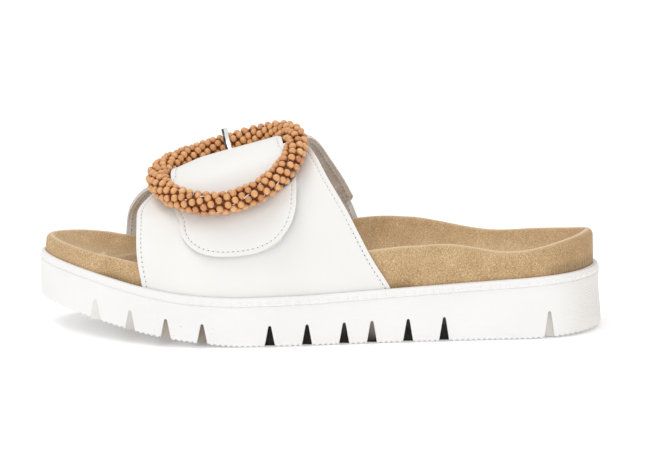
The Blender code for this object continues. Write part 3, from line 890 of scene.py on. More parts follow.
def even_steps(points, pitch, closed=False):
    """Points at an even pitch along a line, with the direction of the line at each."""
    points = np.asarray(points, float)
    if closed:
        points = np.vstack([points, points[:1]])
    run = run_along(points)
    count = max(int(round(run[-1] / pitch)), 2)
    at = (np.arange(count) + 0.5) * run[-1] / count
    places = np.column_stack([np.interp(at, run, column) for column in points.T])
    ahead = np.column_stack([np.interp(at + 0.3, run, column) for column in points.T])
    behind = np.column_stack([np.interp(at - 0.3, run, column) for column in points.T])
    return places, unit(ahead - behind)


welt_curve = set_in(CURVE, STITCH_SET_IN)
line = level(welt_curve, sole_top(welt_curve[:, 0]) - STITCH_BELOW)
places = []
for spot, way in zip(*even_steps(line, STITCH_PITCH, closed=True)):
    if spot[0] < STITCH_START:
        continue
    out = Vector((way[1], -way[0], 0.0)).normalized()
    if out.dot(Vector(spot) - Vector((0, 0, spot[2]))) < 0:
        out = -out
    tilt = Vector(way) * math.cos(STITCH_SLANT) + Vector((0, 0, 1)) * math.sin(STITCH_SLANT)
    places.append(stretched(Vector(spot), tilt, out, STITCH_HALF))
welt_stitches = joined_spheres("sole_stitches", places, [foam.material], sides=(10, 6))

# %% [markdown]
# ## Footbed
# The footbed is a contoured cork form wrapped in tan suede. It has an upright side wall, a
# soft rounded crest and a dished floor with a low bar under the toes. It is the same loop
# of paired points as the sole, extruded up the wall, over the crest and then in towards a
# spine along the middle, where a power curve turns the floor up into the rim. The suede is
# painted pale along the crest and the toe bar as a painted highlight, a little paler on the
# floor with painted light and some wear, and darker towards the heel's end with painted
# shade. It is gathered in small pleats low on the heel's wall. Each is a number stored on
# the mesh for the finish to read.

# %% Footbed sizes
BED_EDGE = 1.0
CREST_SET_IN = 2.9
CREST_START = 0.3
CREST_STEPS = 9
SPINE_ENDS = (-92.0, 98.0)
FLOOR_POWER = 6
FLOOR_OVERREACH = 1.3
CREST_EASE = 0.55
FLOOR_SHARES = (0.985, 0.97, 0.955, 0.94, 0.92, 0.90, 0.875, 0.85, 0.82, 0.78, 0.73, 0.66,
                0.58, 0.48, 0.36, 0.22, 0.08)
TOE_BAR_X = -88.5
TOE_BAR_SLANT = 0.5
TOE_BAR_HALF = 3.6
TOE_BAR_HEIGHT = 3.0
TOE_BAR_ENDS = (0.975, 0.87)
UPPER_STARTS = (-104.0, -97.0)
UPPER_ENDS = (46.0, 39.0)
RIM_BLEND = 12.0

# Painted highlight, painted light with some wear, pleats and painted shade of the suede: how
# strong each is, how far it reaches, and where it starts and is full.
CREST_HIGHLIGHT_HALF = 1.1
BAR_HIGHLIGHT = 0.55
BAR_HIGHLIGHT_HALF = 1.3
BAR_HIGHLIGHT_ENDS = (32.0, 22.0)
FLOOR_LIGHT_AND_WEAR = 0.12
FLOOR_LIGHT_AND_WEAR_GROWS = (-92.0, -40.0)
PLEAT_PITCH = 1.7
PLEATS_GROW = (98.0, 112.0)
PLEATS_FADE_UP = (6.5, 3.0)
HEEL_WALL_SHADE = 0.36
HEEL_WALL_SHADE_GROWS = (92.0, 122.0)


def from_toe_bar(points):
    """Distance of each point from the bar's slanted line, along the foot."""
    return points[:, 0] - TOE_BAR_X - TOE_BAR_SLANT * points[:, 1]


def upper_share(x):
    """1 where the upper goes down beside the footbed, 0 at the toe and the heel."""
    return smooth_step(*UPPER_STARTS, x) * smooth_step(*UPPER_ENDS, x)


def rim_height(ring):
    """Height of the footbed's rim over the sole, blended from side to side."""
    x = ring[:, 0]
    inner_share = smooth_step(-RIM_BLEND, RIM_BLEND, ring[:, 1] - middle_line(x))
    return rim_outer(x) * (1 - inner_share) + rim_inner(x) * inner_share


print("crest:", CREST_SET_IN, "mm in from the wall")

# %% Footbed mesh
bed_stations = stations_along(1.25)
share = upper_share(CURVE[:, 0])
room = ledge(CURVE[:, 0]) + GAP + share * (LEATHER + GAP)
wall = ring_at(bed_stations, room)
x = wall[:, 0]
rim = rim_height(wall)
base = sole_top(x) - RECESS_DEPTH + GAP
rings = [level(ring_at(bed_stations, room + BED_EDGE), base), level(wall, base + BED_EDGE)]
for rim_share, lean in ((0.20, 0.0), (0.42, 0.08)):
    ring = ring_at(bed_stations, room + lean * (1 + share))
    rings.append(level(ring, sole_top(x) + rim_share * rim))
for turn in np.linspace(0, math.pi / 2, CREST_STEPS):
    reach = CREST_START + (CREST_SET_IN - CREST_START) * (1 - math.cos(turn))
    lean = 0.6 * share * math.cos(turn)
    drop = (CREST_SET_IN - CREST_START + 0.5) * (1 - math.sin(turn))
    rings.append(level(ring_at(bed_stations, room + reach + lean), sole_top(x) + rim - drop))
crest = ring_at(bed_stations, room + CREST_SET_IN)
spine = np.column_stack([np.clip(crest[:, 0], *SPINE_ENDS), middle_line(crest[:, 0])])
to_spine = np.linalg.norm(crest - spine, axis=1)
for out in FLOOR_SHARES:
    ring = spine + (crest - spine) * out
    floor_z = sole_top(ring[:, 0]) + bed_floor(ring[:, 0])
    rim_z = sole_top(x) + rim
    reach = out * (1 + FLOOR_OVERREACH / to_spine)
    shifted = floor_z + (rim_z - floor_z) * reach ** FLOOR_POWER
    z = rim_z - CREST_EASE * np.log1p(np.exp(np.clip((rim_z - shifted) / CREST_EASE, -30, 30)))
    bar = TOE_BAR_HEIGHT * hump(from_toe_bar(ring), TOE_BAR_HALF) * smooth_step(*TOE_BAR_ENDS, out)
    rings.append(level(ring, z + bar))
footbed = finish_mesh("footbed_cover", extruded_rings(rings), [suede.material], 70.0)

points = points_of(footbed)
crest_points = np.column_stack([crest, sole_top(x) + rim])
from_crest = np.array([np.linalg.norm(crest_points - point, axis=1).min() for point in points])
on_floor = np.arange(len(points)) >= len(points) - len(FLOOR_SHARES) * len(wall)
off_middle = np.abs(points[:, 1])
# Painted highlight on the crest and the toe bar, and painted light with some wear on the floor.
on_bar = hump(from_toe_bar(points), BAR_HIGHLIGHT_HALF) * smooth_step(*BAR_HIGHLIGHT_ENDS, off_middle)
behind_toes = smooth_step(*FLOOR_LIGHT_AND_WEAR_GROWS, points[:, 0])
floor_light_and_wear = on_floor * np.maximum(BAR_HIGHLIGHT * on_bar, FLOOR_LIGHT_AND_WEAR * behind_toes)
spread(footbed, "highlight_and_wear", np.maximum(hump(from_crest, CREST_HIGHLIGHT_HALF), floor_light_and_wear))
pleat_turn = np.resize(run_along(wall), len(points)) / PLEAT_PITCH * 2 * math.pi
spread(footbed, "pleat_turn", pleat_turn)
over_ledge = points[:, 2] - sole_top(points[:, 0])
low_wall = smooth_step(*PLEATS_FADE_UP, over_ledge) * ~on_floor
spread(footbed, "pleat_share", smooth_step(*PLEATS_GROW, points[:, 0]) * low_wall)
# Painted shade towards the heel's end, on the wall and the crest.
spread(footbed, "heel_wall_shade", HEEL_WALL_SHADE * smooth_step(*HEEL_WALL_SHADE_GROWS, points[:, 0]) * ~on_floor)
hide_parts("footbed")

# %% [markdown]
# ## Ring's own directions
# The ring leans with the strap, so its sizes are given along its bar, across it, and up from
# its plane. Its long arcs droop round the instep, which gives it a saddle shape. The strap
# needs this first, because the ring presses on it.

# %% Ring directions
RING_CENTRE = np.array((-42.9, -10.0, 80.0))
RING_HALF_LENGTH = 33.0
RING_HALF_WIDTH = 29.0
RING_TUBE = 5.3
RING_DROOP = 6.6
RING_PITCH = 16.3
RING_ROLL = 16.2
RING_YAW = 5.5
BAR_RADIUS = 1.5
BAR_DROP = 3.3
PRONG_AT = 2.2
PRONG_LEAN = 0.035

ring_turn = (Matrix.Rotation(math.radians(RING_YAW), 3, "Z")
             @ Matrix.Rotation(math.radians(-RING_PITCH), 3, "Y")
             @ Matrix.Rotation(math.radians(RING_ROLL), 3, "X"))
RING_AXES = np.array(ring_turn.transposed())


def from_ring(sizes):
    """Points given along, across and up from the ring's plane."""
    return RING_CENTRE + np.asarray(sizes, float) @ RING_AXES


def ring_middle(turn):
    """The middle of the tube at a turn round the ring."""
    return from_ring(np.column_stack([RING_HALF_LENGTH * np.cos(turn),
                                      RING_HALF_WIDTH * np.sin(turn),
                                      -RING_DROOP * np.sin(turn) ** 2]))


RING_MIDDLES = ring_middle(np.radians(np.arange(0, 360, 3)))
print("ring:", 2 * (RING_HALF_LENGTH + RING_TUBE), "x", 2 * (RING_HALF_WIDTH + RING_TUBE), "mm")

# %% [markdown]
# ## Last
# Leather is stretched over a last, a form of the foot, so the last gives the upper its
# shape: cross-sections with a ridge over the instep, rounder or squarer on each side. A
# point on it is named by its place along the foot and by an angle round it, from 0 at the
# outer edge over 90 at the ridge to 180 at the inner edge.

# %% Last and leather sheets
LAST = (
    # x       ridge_z  ridge_y  outer  inner
    (-100.0,   54.7,    2.0,    2.30,  2.20),
    (-82.0,    61.2,    2.0,    2.10,  2.20),
    (-64.0,    67.2,    2.0,    1.88,  2.10),
    (-43.0,    73.5,    2.0,    1.90,  2.05),
    (-20.0,    79.8,    3.0,    1.92,  2.05),
    (0.0,      87.2,    4.0,    2.02,  2.10),
    (20.0,     96.2,    5.0,    2.15,  2.15),
    (38.0,    105.2,    5.0,    2.20,  2.20),
)
ridge_height, ridge_place, square_outer, square_inner = column_splines(LAST)
SEAT_CURVE = set_in(CURVE, ledge(CURVE[:, 0]) + GAP + LEATHER)


def on_last(x, angle, out):
    """Points on the last at x, at an angle round it, moved outwards by out."""
    turn = np.radians(np.clip(angle, 0.0, 180.0))
    outer = angle < 90.0
    foot = sole_top(x)
    middle = ridge_place(x)
    seat = np.where(outer, side_of(SEAT_CURVE, x, True), side_of(SEAT_CURVE, x, False))
    power = 2.0 / np.where(outer, square_outer(x), square_inner(x))
    y = (np.abs(seat - middle) + out) * np.abs(np.cos(turn)) ** power
    z = foot + (ridge_height(x) - foot + out) * np.maximum(np.sin(turn), 0.0) ** power
    past_rim = np.maximum(np.maximum(-angle, angle - 180.0), 0.0)
    return np.column_stack([x, middle + np.where(outer, -y, y), z - past_rim])


def dense_ends(share, strength=0.72):
    """Shares from 0 to 1 that crowd towards both ends."""
    return share - strength * np.sin(2 * math.pi * share) / (2 * math.pi)


SEAM_IN = 2.2
SEAM_DEPTH = 0.22
SEAM_WIDTH = 0.65
NEEDLE_PITCH = 2.25
HOLE_GROWTH = 0.45
HOLES_WIDEN = (62.0, 38.0)
HOLE_HALF = (0.25, 0.23, 0.12)
THREAD_HALF = (0.72, 0.20, 0.15)
UNDER_THREAD_HALF = (0.85, 0.22, 0.16)
EDGE_ROUND = 0.28


def nearest_on(line):
    """A search tree over the points of a seam."""
    near = KDTree(len(line))
    for k, spot in enumerate(line):
        near.insert(spot[:3], k)
    near.balance()
    return near


def seam_along(tree, rim, distance, inside):
    """A line on a sheet, a distance in from its rim, as points and outward normals."""
    spots, ways = even_steps(rim, 0.5)
    line = []
    for spot, way in zip(spots, ways):
        normal = tree.find_nearest(Vector(spot))[1]
        inward = normal.cross(Vector(way)).normalized()
        if inward.dot(Vector(inside) - Vector(spot)) < 0:
            inward = -inward
        place, normal = tree.find_nearest(Vector(spot) + inward * distance)[:2]
        line.append((*place, *normal))
    return np.array(line)


def press(bm, line, depth, width):
    """Push a soft trough into a sheet along a line."""
    near = nearest_on(line)
    bm.normal_update()
    moves = [(vert, vert.normal * depth * float(hump(near.find(vert.co)[2], width)))
             for vert in bm.verts]
    for vert, move in moves:
        vert.co -= move


def crease(bm, tree, creases):
    """Soft troughs and ridges, each laid on the sheet at a place, a way and a size."""
    bm.normal_update()
    for x, angle, way, half_length, half_width, depth in creases:
        spot = on_last(np.array([x]), np.array([angle]), LEATHER)[0]
        place, normal = tree.find_nearest(Vector(spot))[:2]
        across_last = Vector((1, 0, 0)) - normal * normal.x
        across_last.normalize()
        turn = math.radians(way)
        forward = across_last * math.cos(turn) + normal.cross(across_last) * math.sin(turn)
        side = normal.cross(forward)
        for vert in bm.verts:
            off = vert.co - place
            if off.length < 3 * half_length:
                share = hump(off.dot(forward), half_length) * hump(off.dot(side), half_width)
                vert.co -= vert.normal * depth * float(share)


def edge_path(place, start, corner_one, corner_two, end, steps=300):
    """Points along three edges of a sheet, from corner to corner in shares."""
    shares = []
    for one, two in ((start, corner_one), (corner_one, corner_two), (corner_two, end)):
        shares += [(one[0] + (two[0] - one[0]) * k / steps, one[1] + (two[1] - one[1]) * k / steps)
                   for k in range(steps)]
    shares = np.array(shares)
    return place(shares[:, 0], shares[:, 1])


def seamed_sheet(grid, place, corners, inside, creases):
    """A sheet bent into place, facing outwards, with its creases and the line of its seam."""
    bm = bent_grid(*grid, place)
    bmesh.ops.recalc_face_normals(bm, faces=bm.faces)
    bm.normal_update()
    highest = max(bm.verts, key=lambda vert: vert.co.z)
    if highest.normal.z < 0:
        bmesh.ops.reverse_faces(bm, faces=bm.faces)
    tree = BVHTree.FromBMesh(bm)
    seam = seam_along(tree, edge_path(place, *corners), SEAM_IN, inside)
    crease(bm, tree, creases)
    press(bm, seam, SEAM_DEPTH, SEAM_WIDTH)
    return bm, seam


def leather_piece(name, bm, lining_material):
    """A finished sheet with its thickness inwards: leather outside, lining, cut edge."""
    piece = finish_mesh(name, bm, [white.material, lining_material, edge.material], 60.0)
    wall = piece.modifiers.new("Leather", "SOLIDIFY")
    wall.thickness = LEATHER * MM
    wall.offset = -1.0
    wall.use_even_offset = False
    wall.material_offset = 1
    wall.material_offset_rim = 2
    rounding = piece.modifiers.new("Edge", "BEVEL")
    rounding.width = EDGE_ROUND * MM
    rounding.segments = 2
    rounding.limit_method = "ANGLE"
    rounding.angle_limit = math.radians(60.0)
    return piece


def sew(name, line):
    """Needle holes and the threads between them along a seam, on both faces."""
    spots, ways = even_steps(line[:, :3], NEEDLE_PITCH)
    near = nearest_on(line)
    long, wide, deep = HOLE_HALF
    holes, threads, inner = [], [], []
    for spot, way in zip(spots, ways):
        normal = Vector(line[near.find(spot)[1], 3:])
        at = Vector(spot) - normal * SEAM_DEPTH
        half = at + Vector(way) * NEEDLE_PITCH / 2
        # The dots of painted shade grow larger lower down the leather.
        hole_scale = 1.0 + HOLE_GROWTH * float(smooth_step(*HOLES_WIDEN, at.z))
        holes.append(stretched(at, way, normal, (long * hole_scale, wide * hole_scale, deep)))
        threads.append(stretched(half, way, normal, THREAD_HALF))
        inner.append(stretched(half - normal * LEATHER, way, normal, UNDER_THREAD_HALF))
    for part, places, finish in (("_holes", holes, hole_shade), ("_thread", threads, thread),
                                 ("_under_thread", inner, under_thread)):
        made = joined_spheres(name + part, places, [finish.material], sides=(8, 4))


print("last:", len(LAST), "cross-sections")

# %% [markdown]
# ## Lateral panel
# One piece of leather rises from the sole on the outer side, goes over the instep and ends
# inside the medial panel as a stitched, nearly square underlap. It could be carved from a
# solid, but a sheet bent over the last keeps its true thickness and its grain. Its columns
# crowd towards both edges, where the seam presses a soft trough. The panel is lined with
# taupe suede, which shows at the far side of both openings.

# %% Lateral panel
TUCK = 6.0
UNDERLAP_CORNER = 1.0
UNDERLAP_CORNER_ANGLE = 2.0
REAR_RISE = 3.0
REAR_RISE_ANGLE = 99.0
REAR_RISE_SPREAD = 11.0
REAR_RISE_ACROSS = (0.78, 1.0)
PANEL_GRID = (110, 170)

PANEL_EDGES = (
    # angle   front_x   rear_x
    (0.0,     -80.5,     32.0),
    (7.0,     -81.5,     25.5),
    (14.0,    -82.4,     20.7),
    (30.0,    -83.4,     12.2),
    (48.0,    -83.7,      3.8),
    (62.0,    -83.2,     -0.8),
    (76.0,    -78.6,     -4.6),
    (90.0,    -74.0,     -7.2),
    (100.0,   -72.0,     -5.8),
    (108.0,   -71.0,     -2.6),
    (130.0,   -69.5,      4.4),
    (144.0,   -69.1,     10.4),
    (156.0,   -69.0,     16.0),
)

PANEL_CREASES = (
    # x      angle   way    half_length   half_width   depth
    (-6.0,   38.0,    60.0,   4.0,          1.1,         0.14),
    (-1.0,   34.0,    50.0,   6.0,          2.0,        -0.12),
    (12.0,   10.0,    70.0,   9.0,          3.0,         0.22),
    (-62.0,   9.0,   100.0,   8.0,          3.0,         0.18),
    (-30.0,   8.0,    92.0,   9.0,          4.0,         0.16),
    (-76.0,  58.0,    20.0,   8.0,          2.6,         0.16),
    (-14.0,  70.0,   120.0,   9.0,          3.0,         0.20),
)

panel_front, panel_rear = column_splines(PANEL_EDGES)


def panel_place(u, v):
    """A point of the panel from its shares: across it, and up from the outer rim."""
    last = PANEL_EDGES[-1][0]
    angle = -TUCK + (last + TUCK) * np.asarray(v)
    near_end = np.clip((angle - last) / UNDERLAP_CORNER_ANGLE + 1, 0, 1)
    narrowing = UNDERLAP_CORNER * (1 - np.sqrt(1 - near_end ** 2))
    low, high = panel_front(angle) + narrowing, panel_rear(angle) - narrowing
    across = dense_ends(np.asarray(u))
    near_ridge = hump(angle - REAR_RISE_ANGLE, REAR_RISE_SPREAD)
    rise = REAR_RISE * (smooth_step(*REAR_RISE_ACROSS, across) * near_ridge)
    return on_last(low + (high - low) * across, angle, LEATHER + rise)


corners = ((0, 0.03), (0, 1), (1, 1), (1, 0.03))
bm, panel_seam = seamed_sheet(PANEL_GRID, panel_place, corners, (-28.0, 0.0, 70.0), PANEL_CREASES)
lateral = leather_piece("lateral_panel", bm, lining.material)
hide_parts("upper")
sew("lateral_seam", panel_seam)

# %% [markdown]
# ## Medial panel and strap
# The second piece of leather rises on the inner side, covers the underlap, narrows, and runs
# over the bar and under both arcs of the ring as the strap. It ends as a rounded flap on the
# lateral panel, held only by the buckle, so its lower edge stands off a little. Where the
# ring's tube lies on it, the leather is pressed down until it is clear of the tube.

# %% Strap sizes
FLAP_START = 43.0
FLAP_END = 20.6
FLAP_ROUND = 2.5
FLAP_SLANT = 0.5
FLAP_END_LIFT = 1.3
FLAP_REAR_LIFT = 2.7
CORNER_DROOP = 1.4
DROOP_ACROSS = (0.3, 0.0)
DROOP_GROWS = (76.0, 88.0)
DROOP_FADES = (120.0, 100.0)
UNDERLAP_SEAT = (173.0, 157.0)
REAR_ACROSS = (0.62, 1.0)
REAR_LIFTS = (62.0, 48.0)
ROWS_CROWD = 1.25
TUBE_SPARE = 0.1
SLOT_WIDTH = 3.6
SLOT_ENDS = (10.6, 17.3)
STRAP_GRID = (96, 230)

STRAP_EDGES = (
    # angle   front_x   rear_x   lift
    (43.0,    -63.6,    -10.8,    0.4),
    (52.0,    -66.4,    -11.2,    1.2),
    (62.0,    -67.4,    -14.2,    4.3),
    (75.0,    -68.7,    -17.3,    6.8),
    (86.0,    -68.3,    -18.5,    6.8),
    (96.0,    -70.8,    -19.4,    4.8),
    (106.0,   -76.9,    -18.2,    2.0),
    (118.0,   -84.9,    -13.4,    0.4),
    (132.0,   -90.0,     -5.0,   -0.7),
    (146.0,   -92.4,      7.0,    0.4),
    (160.0,   -93.6,     15.5,    0.4),
    (180.0,   -94.0,     23.5,    0.4),
)

STRAP_CREASES = (
    # x      angle   way    half_length   half_width   depth
    (-40.0,  112.0,   20.0,  16.0,         3.2,         0.30),
    (-62.0,  122.0,  -30.0,  10.0,         3.0,         0.25),
    (-20.0,  128.0,   50.0,  10.0,         3.0,         0.25),
    (-34.0,   47.0,    4.0,  15.0,         2.4,         0.22),
    (-60.0,   40.0,   40.0,   6.0,         2.0,         0.14),
    (-50.0,  170.0,   95.0,   9.0,         3.5,         0.20),
    (-10.0,  168.0,   80.0,   9.0,         3.5,         0.20),
)

strap_front, strap_rear, strap_lift = column_splines(STRAP_EDGES)


def nearest_middle(points):
    """Distance from each point to the middle of the ring's tube."""
    square = ((points ** 2).sum(axis=1)[:, None] + (RING_MIDDLES ** 2).sum(axis=1)[None]
              - 2 * points @ RING_MIDDLES.T)
    return np.sqrt(np.maximum(square.min(axis=1), 0.0))


def under_ring(x, angle, out):
    """How far out the strap's inside lies once the ring presses on it."""
    clear = RING_TUBE + GAP + TUBE_SPARE
    for _ in range(8):
        nearest = np.minimum(nearest_middle(on_last(x, angle, out)),
                             nearest_middle(on_last(x, angle, out + LEATHER)))
        out = out - np.maximum(clear - nearest, 0.0)
    return out


def strap_place(u, v):
    """A point of the strap from its shares: across it, and from the flap to the inner rim.

    On the flap, a square of shares is first turned into a disc, and then grown into the
    flap's rounded square.
    """
    u, v = np.asarray(u, float), np.asarray(v, float)
    angle = FLAP_END + (180.0 + TUCK - FLAP_END) * v ** ROWS_CROWD
    widest = strap_front(FLAP_START), strap_rear(FLAP_START)
    across = dense_ends(u)
    side = 2 * across - 1
    down = np.clip((FLAP_START - angle) / (FLAP_START - FLAP_END), 0.0, 1.0)
    wide, deep = side * np.sqrt(1 - down ** 2 / 2), down * np.sqrt(1 - side ** 2 / 2)
    reach = np.hypot(wide, deep) + 1e-9
    round_reach = np.abs(wide) ** FLAP_ROUND + np.abs(deep) ** FLAP_ROUND + 1e-9
    grown = reach / round_reach ** (1 / FLAP_ROUND)
    end = np.where(down > 0, deep * grown, 0.0)
    rounded = sum(widest) / 2 + FLAP_SLANT * end + (widest[1] - widest[0]) / 2 * wide * grown
    straight = strap_front(angle) + (strap_rear(angle) - strap_front(angle)) * across
    x = np.where(down > 0, rounded, straight)
    angle = np.where(down > 0, FLAP_START - (FLAP_START - FLAP_END) * end, angle)
    beyond_bar = smooth_step(*DROOP_GROWS, angle) * smooth_step(*DROOP_FADES, angle)
    droop = CORNER_DROOP * smooth_step(*DROOP_ACROSS, across) * beyond_bar
    lift = strap_lift(angle) - droop
    lift = lift + (FLAP_END_LIFT - lift) * end
    over_underlap = smooth_step(*UNDERLAP_SEAT, angle)
    rear_edge = smooth_step(*REAR_ACROSS, across) * smooth_step(*REAR_LIFTS, angle)
    out = (LEATHER + lift) * over_underlap + FLAP_REAR_LIFT * rear_edge
    return on_last(x, angle, under_ring(x, angle, out) + LEATHER)


print("strap at the bar:", round(float(strap_rear(80.0) - strap_front(80.0)), 1), "mm wide")

# %% [markdown]
# The slot is a rounded oval in the ring's own directions. Faces whose corners all lie in it
# are left out, and the corners round the hole are eased onto the oval, so its edge is smooth
# without a cut through the leather.

# %% Medial panel mesh
SLOT_REACH = 1.08
SLOT_DEPTH = 12.0
corners = ((0, 0.97), (0, 0), (1, 0), (1, 0.97))
bm, strap_seam = seamed_sheet(STRAP_GRID, strap_place, corners, (-38.0, -6.0, 84.0), STRAP_CREASES)

slot_middle = np.array((PRONG_AT, sum(SLOT_ENDS) / 2))
slot_half = np.array((SLOT_WIDTH / 2, (SLOT_ENDS[1] - SLOT_ENDS[0]) / 2))


def in_slot(vert):
    """Where a corner lies in the slot: its place in the ring's directions, and 1 at the rim."""
    sizes = (np.array(vert.co) - RING_CENTRE) @ RING_AXES.T
    reach = (np.abs((sizes[:2] - slot_middle) / slot_half) ** 3).sum() ** (1 / 3)
    return sizes, reach


open_faces = [face for face in bm.faces if face.normal.z > 0
              and all(in_slot(vert)[1] < SLOT_REACH for vert in face.verts)
              and abs(in_slot(face.verts[0])[0][2]) < SLOT_DEPTH]
rim_edges = [edge for edge in {edge for face in open_faces for edge in face.edges}
             if sum(face in open_faces for face in edge.link_faces) == 1]
slot_rim = {vert for edge in rim_edges for vert in edge.verts}
bmesh.ops.delete(bm, geom=open_faces, context="FACES")
for vert in slot_rim:
    sizes, reach = in_slot(vert)
    sizes[:2] = slot_middle + (sizes[:2] - slot_middle) / max(reach, 0.1)
    vert.co = from_ring(sizes)
leather_piece("medial_panel", bm, pale_lining.material)
print("slot:", len(open_faces), "faces left out")
sew("strap_seam", strap_seam)

# %% [markdown]
# ## Ring buckle
# The ring is a metal frame wound with strings of small wooden beads, like a crocheted rope:
# seven strings side by side, each turning round the tube as it goes round the ring, and each
# half a bead ahead of the one before. A wound core closes the gaps between them; its dark
# red-brown is partly its own colour and partly painted shade and reddish bounced light deep
# between the beads. Thin silver wires lie between the strings and come up to glint along the
# near arc. A plain steel bar crosses the ring under the strap.

# %% Ring core
CORE_RADIUS = 3.2
STRINGS = 7
BEADS_PER_STRING = 58
BEAD_RADIUS = 1.82
BEAD_MIDDLE = 3.88
STRING_TURNS = 3
CORE_SIDES = 16


def ring_frame(turn):
    """Middle of the tube and its outward and upward directions, at turns round the ring."""
    turn = np.atleast_1d(turn)
    forward = unit(ring_middle(turn + 0.01) - ring_middle(turn - 0.01))
    side = unit(np.cross(forward, RING_AXES[2]))
    return ring_middle(turn), side, np.cross(side, forward)


def on_tube(turn, angle, radius):
    """Points on the ring's tube at turns round the ring and angles round the tube."""
    middle, side, over = ring_frame(turn)
    angle = np.reshape(angle, (-1, 1))
    return middle + (side * np.cos(angle) + over * np.sin(angle)) * np.reshape(radius, (-1, 1))


sides = np.linspace(0, 2 * math.pi, CORE_SIDES, endpoint=False)
rings = [on_tube(np.full(CORE_SIDES, turn), sides, CORE_RADIUS)
         for turn in np.linspace(0, 2 * math.pi, 121)]
ring_core = finish_mesh("ring_core", extruded_rings(rings, "hoop"), [core.material])

# %% [markdown]
# The beads lie at an even pitch along each string, so turns round the ring are first turned
# into shares of the way round it. Each bead is a small sphere with a seeded difference in
# size, place and tone, as turned wood has, and its bore runs along the string. Its tone also
# carries painted shade: darker low on its sides, towards its neighbours, and at both ends,
# where the bore opens.

# %% Beads
# Steps once round the ring, and the share of it from a bead to the point that it faces.
LOOP = 720
AHEAD = 0.008

# How much the beads differ: along the string, round the tube, out from it, and in size.
PLACE_SWAY = 0.06
TURN_SWAY = 0.07
HEIGHT_SWAY = (-0.16, 0.10)
SIZE_SWAY = (0.95, 1.04)

# Length of a bead as a share of its width, and the mean and spread of its tone.
BEAD_SQUASH = 0.96
BEAD_TONE = (0.50, 0.12)
turns = np.linspace(0, 4 * math.pi, 2 * LOOP + 1)
way_round = run_along(ring_middle(turns))
way_round /= way_round[LOOP]
places, tones = [], []
for string in range(STRINGS):
    for k in range(BEADS_PER_STRING):
        sway = random.uniform(-PLACE_SWAY, PLACE_SWAY)
        share = (k + 0.5 * string + sway) / BEADS_PER_STRING
        turn, after = np.interp((share, share + AHEAD), way_round, turns)
        angle = 2 * math.pi * (string / STRINGS + STRING_TURNS * share)
        angle += random.uniform(-TURN_SWAY, TURN_SWAY)
        radius = BEAD_MIDDLE + random.uniform(*HEIGHT_SWAY)
        spot = on_tube(turn, angle, radius)[0]
        out = spot - ring_middle(np.array([turn]))[0]
        ahead = on_tube(after, angle + STRING_TURNS * 2 * math.pi * AHEAD, radius)[0] - spot
        size = BEAD_RADIUS * random.uniform(*SIZE_SWAY)
        half_sizes = (size * BEAD_SQUASH, size, size)
        places.append(stretched(Vector(spot), ahead, Vector(out), half_sizes))
        tones.append(min(max(random.gauss(*BEAD_TONE), 0.05), 0.9))
# 0.7 is the painted shade, low on each bead's sides and at its bore.
beads = joined_spheres("ring_beads", places, [bead.material], tones, (8, 6), 0.7)
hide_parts("buckle_ring")

# %% [markdown]
# A thin wire runs beside three of the strings, just under the core's surface. On the near
# arc it comes up between the beads here and there, as far as two waves of different length
# let it, and shows as short silver glints. A small circle is carried round its whole line.

# %% Silver wire
WIRES = (1, 3, 5)
WIRE_RADIUS = 0.26
WIRE_SIDES = 6
WIRE_MIDDLE = 2.9
WIRE_RISE = 1.7
NEAR_ARC = 1.5 * math.pi
NEAR_ARC_HALF = 0.9


def swept_hoop(name, path, materials):
    """A thin round wire along a closed line."""
    ways = np.roll(path[:-1], -1, axis=0) - np.roll(path[:-1], 1, axis=0)
    ways = unit(np.vstack([ways, ways[:1]]))
    one = unit(np.cross(ways, RING_AXES[2] + 0.01))
    two = np.cross(one, ways)
    round_it = np.linspace(0, 2 * math.pi, WIRE_SIDES, endpoint=False)
    rings = [spot + WIRE_RADIUS * (np.outer(np.cos(round_it), a) + np.outer(np.sin(round_it), b))
             for spot, a, b in zip(path, one, two)]
    return finish_mesh(name, extruded_rings(rings, "hoop"), materials)


turns = np.linspace(0, 2 * math.pi, 361)
for k, string in enumerate(WIRES, 1):
    angles = 2 * math.pi * (string + 0.5) / STRINGS + STRING_TURNS * turns
    waves = np.sin(turns * 23 + string * 2.1) * np.sin(turns * 7 + string)
    glints = np.clip((waves - 0.1) / 0.5, 0, 1) * hump(turns - NEAR_ARC, NEAR_ARC_HALF)
    path = on_tube(turns, angles, WIRE_MIDDLE + WIRE_RISE * glints)
    wire = swept_hoop(f"ring_wire_{k}", path, [steel.material])

# %% [markdown]
# The bar is a plain turned rod across the ring, a little below its plane. A cylinder with
# its two ends bevelled is all it needs, because the strap hides it from most sides.

# %% Bar
BAR_SHORT = 1.0
bm = bmesh.new()
along_ring = Vector(RING_AXES[0]).to_track_quat("Z", "Y").to_matrix().to_4x4()
place = Matrix.Translation(from_ring([(0, 0, -BAR_DROP)])[0]) @ along_ring
bmesh.ops.create_cone(bm, cap_ends=True, segments=32, radius1=BAR_RADIUS, radius2=BAR_RADIUS,
                      depth=2 * (RING_HALF_LENGTH - BAR_SHORT), matrix=place)
caps = [edge for edge in bm.edges if any(len(face.verts) > 4 for face in edge.link_faces)]
bmesh.ops.bevel(bm, geom=caps, offset=0.3, segments=2, profile=0.5, affect="EDGES", material=-1)
bar = finish_mesh("buckle_bar", bm, [steel.material], 40.0)

# %% [markdown]
# ## Prong
# A narrow polished prong is bent round the bar in an open eye. It comes up through the slot
# in the strap, crosses to the far side of the ring, and hooks over it with a rounded tip.
# One flat rounded section is carried along a smooth line through its points. A strip of its
# face along one side is painted near-black metal, a painted reflection of a dark part of a
# room.

